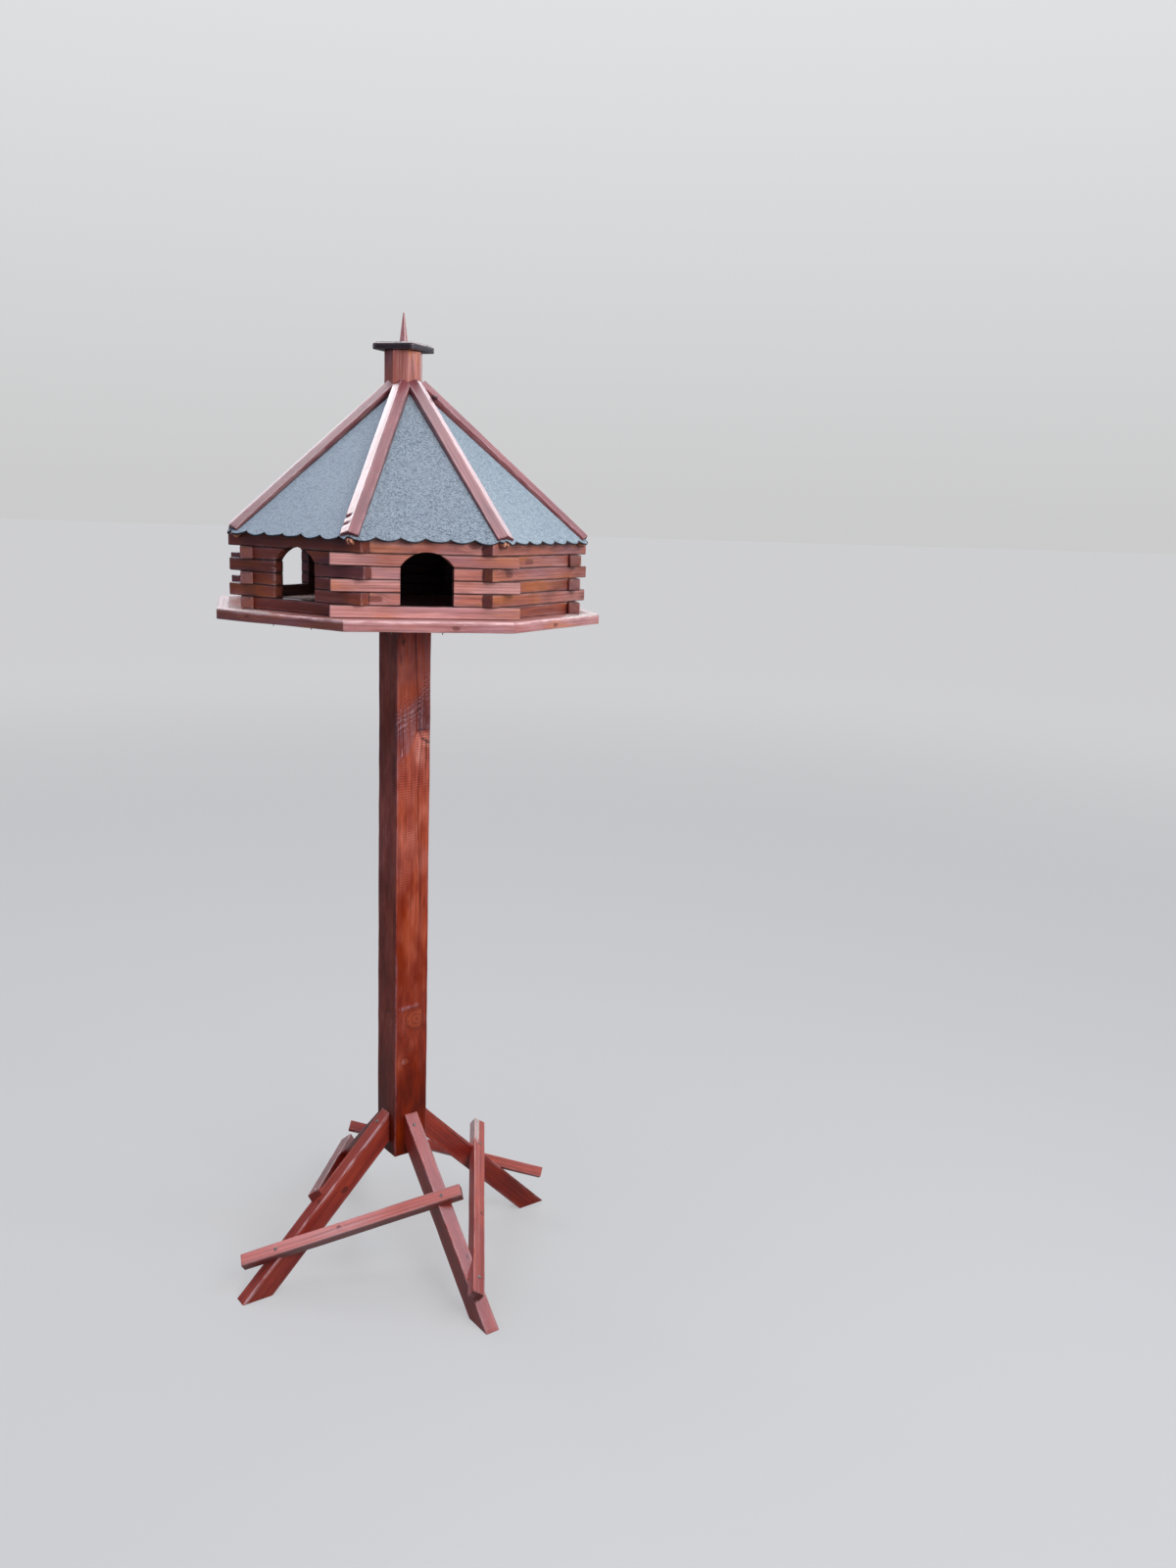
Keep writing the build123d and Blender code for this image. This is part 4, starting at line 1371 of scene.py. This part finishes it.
def make_ribs():
    """Eight roof-shaped battens over the hips, a little thicker towards the chimney."""
    bend = math.acos(math.sin(SLOPE) ** 2 * math.cos(math.radians(STEP)) + math.cos(SLOPE) ** 2)
    lip = RIB_WIDTH / 2
    foot = -lip * math.tan(bend / 2)
    shoulder = foot + RIB_SIDE
    outline = [(lip, foot), (lip, shoulder), (0, RIB_HEIGHT), (-lip, shoulder), (-lip, foot), (0, 0)]
    batches = [Batch(), Batch()]
    for n, tone in enumerate(RIB_TONES):
        start, along, out, length = rib_frame(n * STEP + HALF)
        across = np.cross(out, along)
        chipped = n == CHIPPED_RIB

        def shape(local, sides, normals):
            """Chips in the lower end of one rib, and the thickening of all."""
            x, y, z = local.T
            if chipped:
                left = smooth(y, 0.001, 0.006)
                cut = 0.0030 * gauss(x, CHIPS[0], 0.0018)
                cut = cut + 0.0035 * gauss(x, CHIPS[1], 0.0016) * smooth(y, 0.001, 0.009)
                z = z - cut * left - 0.0007 * smooth(x, 0.146, 0.1475) * (1 - left)
            upper = smooth(z, foot + 0.0008, shoulder - 0.0008)
            return np.stack([x, y, z + RIB_SWELL * upper * np.clip(x / length, 0, 1)], 1)

        def painted_rib_shade(world, local):
            """Painted shade on the narrow sides, in the chips and at the small step beside them."""
            x, y, z = local.T
            side = 1 - smooth(z, shoulder - 0.0020, shoulder - 0.0004)
            side = smooth(np.abs(y), lip - 0.0016, lip - 0.0004) * side
            shade = (0.85 if n == DEEP_SHADE_RIB else 0.62) * side
            if chipped:
                bites = gauss(x, CHIPS[0], 0.0016) + gauss(x, CHIPS[1], 0.0014)
                shade += 0.8 * bites * smooth(y, 0.001, 0.006)
                shade += 0.5 * gauss(x, 0.1465, 0.0010) * smooth(-y, 0.0, 0.002)
            return np.stack([0 * x, np.clip(shade, 0, 1), 0 * x], 1)

        knot = knot_at(np.random.default_rng(600 + n), 2, 0.08, 0.38, 0.004, 0.005, 0.003)
        if chipped:
            knot = (1, 0.153, 0.001, 0.0022, 0.0016)
        beam(batches[n % 2], placing(along, across, out, start), outline, 0.0, length, 620 + n, ease=0.0010,
             spacing=0.003 if chipped else 0.006, soft=[0.3, 0.8, 0.4, 0.8, 0.3, 0], tone=tone, knots=[knot],
             shape=shape, state=painted_rib_shade, ends=(0.001, 0.001))
        if n == KNOB_RIB:
            knob = start + along * KNOB_PLACE[0] + across * KNOB_PLACE[1] + out * KNOB_PLACE[2]
            lump(batches[1], knob, KNOB_RADIUS, 641)
    make_pair(batches, "rib_battens_", RIB_WOOD, "roof_ribs_", ("even", "odd"))


def make_chimney():
    """The eight-sided chimney, from the underside of the boards up."""
    radius = CHIMNEY_ACROSS / 2 / math.cos(math.radians(HALF))
    corners = [math.radians(CHIMNEY_TURN - HALF + n * STEP) for n in range(8)]
    outline = [(radius * math.cos(a), radius * math.sin(a)) for a in corners]
    batch = Batch()
    beam(batch, placing(UP, OUT_X, OUT_Y, (CHIMNEY_SHIFT, 0, 0)), outline, roof_height(radius), chimney_top(),
         801, spacing=0.004, tone=-0.4, heart=(0.030, -0.020), rub_and_highlight=[0.9, 0.9, 0.3, 0.3, 0.3, 0.3, 0.3, 0.9],
         knots=[(4, 1.62, 0.004, 0.006, 0.004), (1, 1.70, 0.0, 0.007, 0.005)])
    batch.make("chimney_stack", LOG_WOOD, "chimney")


def on_chimney(height):
    """The placing of the lid or the spike, turned about the chimney's own axis."""
    place = placing(UP, OUT_X, OUT_Y, (0, 0, height), LID_TURN)
    place[0, 3] = CHIMNEY_SHIFT
    return place


def make_lid():
    """The bevelled square lid, which is nearly black."""
    batch = Batch()
    half = LID_WIDTH / 2
    low = chimney_top()

    def bevel_wear(world, local):
        """The stain has worn off the upper part of the bevel."""
        x, y, z = local.T
        near = smooth(np.maximum(np.abs(y), np.abs(z)), half - LID_BEVEL, half - 0.0030)
        return np.stack([1.3 * near * smooth(x, low + 0.0098, low + 0.0122), 0 * x, 0 * x], 1)

    beam(batch, on_chimney(0), rectangle(half, half), low, low + LID_THICKNESS, 811, spacing=0.003,
         across=0.006, swap=(1, 0, 2), ends=(0.0012, LID_BEVEL), corner=0.45, state=bevel_wear)
    batch.make("lid_board", LID_WOOD, "chimney_lid", slot="dark_stained_wood")


def make_spike():
    """The tapered square spike on the lid."""
    batch = Batch()

    def taper(local, sides, normals):
        scale = 1 - (1 - SPIKE_TIP / SPIKE_WIDTH) * local[:, 0] / SPIKE_HEIGHT
        return np.column_stack([local[:, 0], local[:, 1:] * scale[:, None]])

    # Its arrises are rubbed pale all round, as painted highlights
    beam(batch, on_chimney(chimney_top() + LID_THICKNESS), rectangle(SPIKE_WIDTH / 2, SPIKE_WIDTH / 2), 0.0,
         SPIKE_HEIGHT, 821, ease=0.0010, spacing=0.003, across=0.003, tone=-0.4, shape=taper,
         ends=(0.0003, 0.0006), rub_and_highlight=[3] * 4, state=(0.0, 0.0, 0.35))
    batch.make("spike_point", RIM_WOOD, "spike")


# Studio

# Each lamp's place, target, size, power, colour and whether it is mirrored in varnish
LAMPS = {
    "key": ((0.95, -1.85, 1.9), (0, 0, 1.25), 1.2, 35, (1.0, 0.965, 0.95), False),
    "sky": ((2.5, -1.35, 3.1), (0, 0, 0.4), 1.25, 38, (0.68, 0.82, 1.0), True),
    "top": ((-0.5, 0.0, 4.6), (0, 0, 1.0), 3.2, 88, (0.90, 0.95, 1.0), True),
    "rear_left": ((-1.5, 2.2, 3.6), (0, 0, 1.5), 1.5, 36, (1.0, 0.97, 0.99), True),
    "rear_right": ((1.9, 2.9, 3.0), (0, 0, 1.5), 1.2, 8, (1.0, 0.97, 1.0), True),
}
# The camera's place, roll and focal length as a share of the picture's height
CAMERA_PLACE = (-0.2889, -2.4058, 1.4843)
CAMERA_ROLL = math.radians(2.107)
CAMERA_FOCUS = 1334.25 / 1600
SENSOR = 36


def added(name, data):
    """A new object of the scene."""
    holder = bpy.data.objects.new(name, data)
    bpy.context.scene.collection.objects.link(holder)
    return holder


def make_floor_stage():
    """A plain pale floor, which fades into the backdrop and keeps the object's shadow."""
    mesh = bpy.data.meshes.new("studio_floor")
    reach = 60.0
    corners = [(-reach, -reach, 0), (reach, -reach, 0), (reach, reach, 0), (-reach, reach, 0)]
    mesh.from_pydata(corners, [], [(0, 1, 2, 3)])
    g = Graph(bpy.data.materials.new("pale_floor"))
    soft = g.add("BsdfDiffuse", {"Color": (0.22, 0.22, 0.22, 1)})
    distance = g.vector("LENGTH", g.add("TexCoord", {}).outputs["Object"])
    glow = g.line(g.step(distance, 1.0, 9.0), 0.175, 0.41)
    lit = g.add("Emission", {"Color": (1.0, 1.0, 1.01, 1), "Strength": glow})
    path = g.add("LightPath", {})
    seen = g.mul(path.outputs["Is Glossy Ray"], 0.35)
    for kind in ("Is Camera Ray", "Is Transmission Ray"):
        seen = g.math("MAXIMUM", seen, path.outputs[kind])
    none = g.add("Emission", {"Color": (0, 0, 0, 1)})
    shown = g.add("MixShader", {0: seen, 1: none.outputs[0], 2: lit.outputs[0]})
    both = g.add("AddShader", {0: soft.outputs[0], 1: shown.outputs[0]})
    g.add("OutputMaterial", {"Surface": both.outputs[0]})
    mesh.materials.append(g.owner)
    added("studio_floor", mesh)


def make_world():
    """A pale backdrop, and an even weak light from all round."""
    world = bpy.data.worlds.new("studio")
    bpy.context.scene.world = world
    g = Graph(world)
    direction = g.add("TexCoord", {}).outputs["Generated"]

    def toward(way, low, high, away, near):
        """One colour away from a direction and another one towards it."""
        facing = g.vector("DOT_PRODUCT", direction, way)
        share = g.add("MapRange", {"Value": facing, "From Min": low, "From Max": high}).outputs[0]
        return g.mix(share, away, near)

    pale = toward(UP, 0.0, 0.6, (0.60, 0.60, 0.605, 1), (0.86, 0.88, 0.90, 1))
    mirrored = toward((0.62, -0.35, 0.70), -0.3, 0.85, (0.20, 0.20, 0.23, 1), (0.95, 1.0, 1.10, 1))
    banded = toward((0.03, 0.80, 0.60), 0.68, 0.93, mirrored, (2.0, 2.0, 2.2, 1))
    weak = toward((-0.92, -0.38, 0.0), 0.2, 0.9, (0.86, 0.92, 1.0, 1), (0.80, 0.66, 2.0, 1))
    path = g.add("LightPath", {})
    seen = path.outputs["Is Camera Ray"]
    for kind in ("Is Glossy Ray", "Is Transmission Ray"):
        seen = g.math("MAXIMUM", seen, path.outputs[kind])
    shown = g.mix(path.outputs["Is Glossy Ray"], pale, banded)
    backdrop = g.add("Background", {"Color": shown, "Strength": 1.0})
    fill = g.add("Background", {"Color": weak, "Strength": 0.20})
    both = g.add("MixShader", {0: seen, 1: fill.outputs[0], 2: backdrop.outputs[0]})
    g.add("OutputWorld", {"Surface": both.outputs[0]})


def make_lights():
    """Square lamps, each turned towards its target."""
    for name, (place, target, size, power, colour, mirrored) in LAMPS.items():
        light = bpy.data.lights.new(name, "AREA")
        light.shape = "SQUARE"
        light.size = size
        light.energy = power
        light.color = colour
        holder = added(name, light)
        holder.visible_camera = False
        holder.visible_glossy = mirrored
        back = unit(np.subtract(place, target))
        side = unit(np.cross(UP, back))
        holder.matrix_world = Matrix(placing(side, np.cross(back, side), back, place).tolist())


def make_camera():
    """The camera in front of the house, a little to its left."""
    data = bpy.data.cameras.new("camera")
    data.lens = SENSOR * CAMERA_FOCUS
    data.sensor_width = SENSOR
    data.clip_start = 0.05
    data.clip_end = 200
    camera = added("camera", data)
    ahead = unit((0.2537, 0.9446, -0.2084))
    right = unit((0.9658, -0.2594, 0))
    down = np.cross(ahead, right)
    rolled_right = math.cos(CAMERA_ROLL) * right - math.sin(CAMERA_ROLL) * down
    rolled_down = math.sin(CAMERA_ROLL) * right + math.cos(CAMERA_ROLL) * down
    camera.matrix_world = Matrix(placing(rolled_right, -rolled_down, -ahead, CAMERA_PLACE).tolist())
    bpy.context.scene.camera = camera


fasteners = Batch()
make_post()
make_legs(fasteners)
make_braces(fasteners)
make_floor()
make_rim()
make_walls(fasteners)
floor_nails(fasteners)
make_roof()
make_ribs()
make_chimney()
make_lid()
make_spike()
fasteners.make("screws_and_nails", METAL)
make_floor_stage()
make_world()
make_lights()
make_camera()
bpy.context.scene.view_settings.view_transform = "Standard"
bpy.context.view_layer.update()
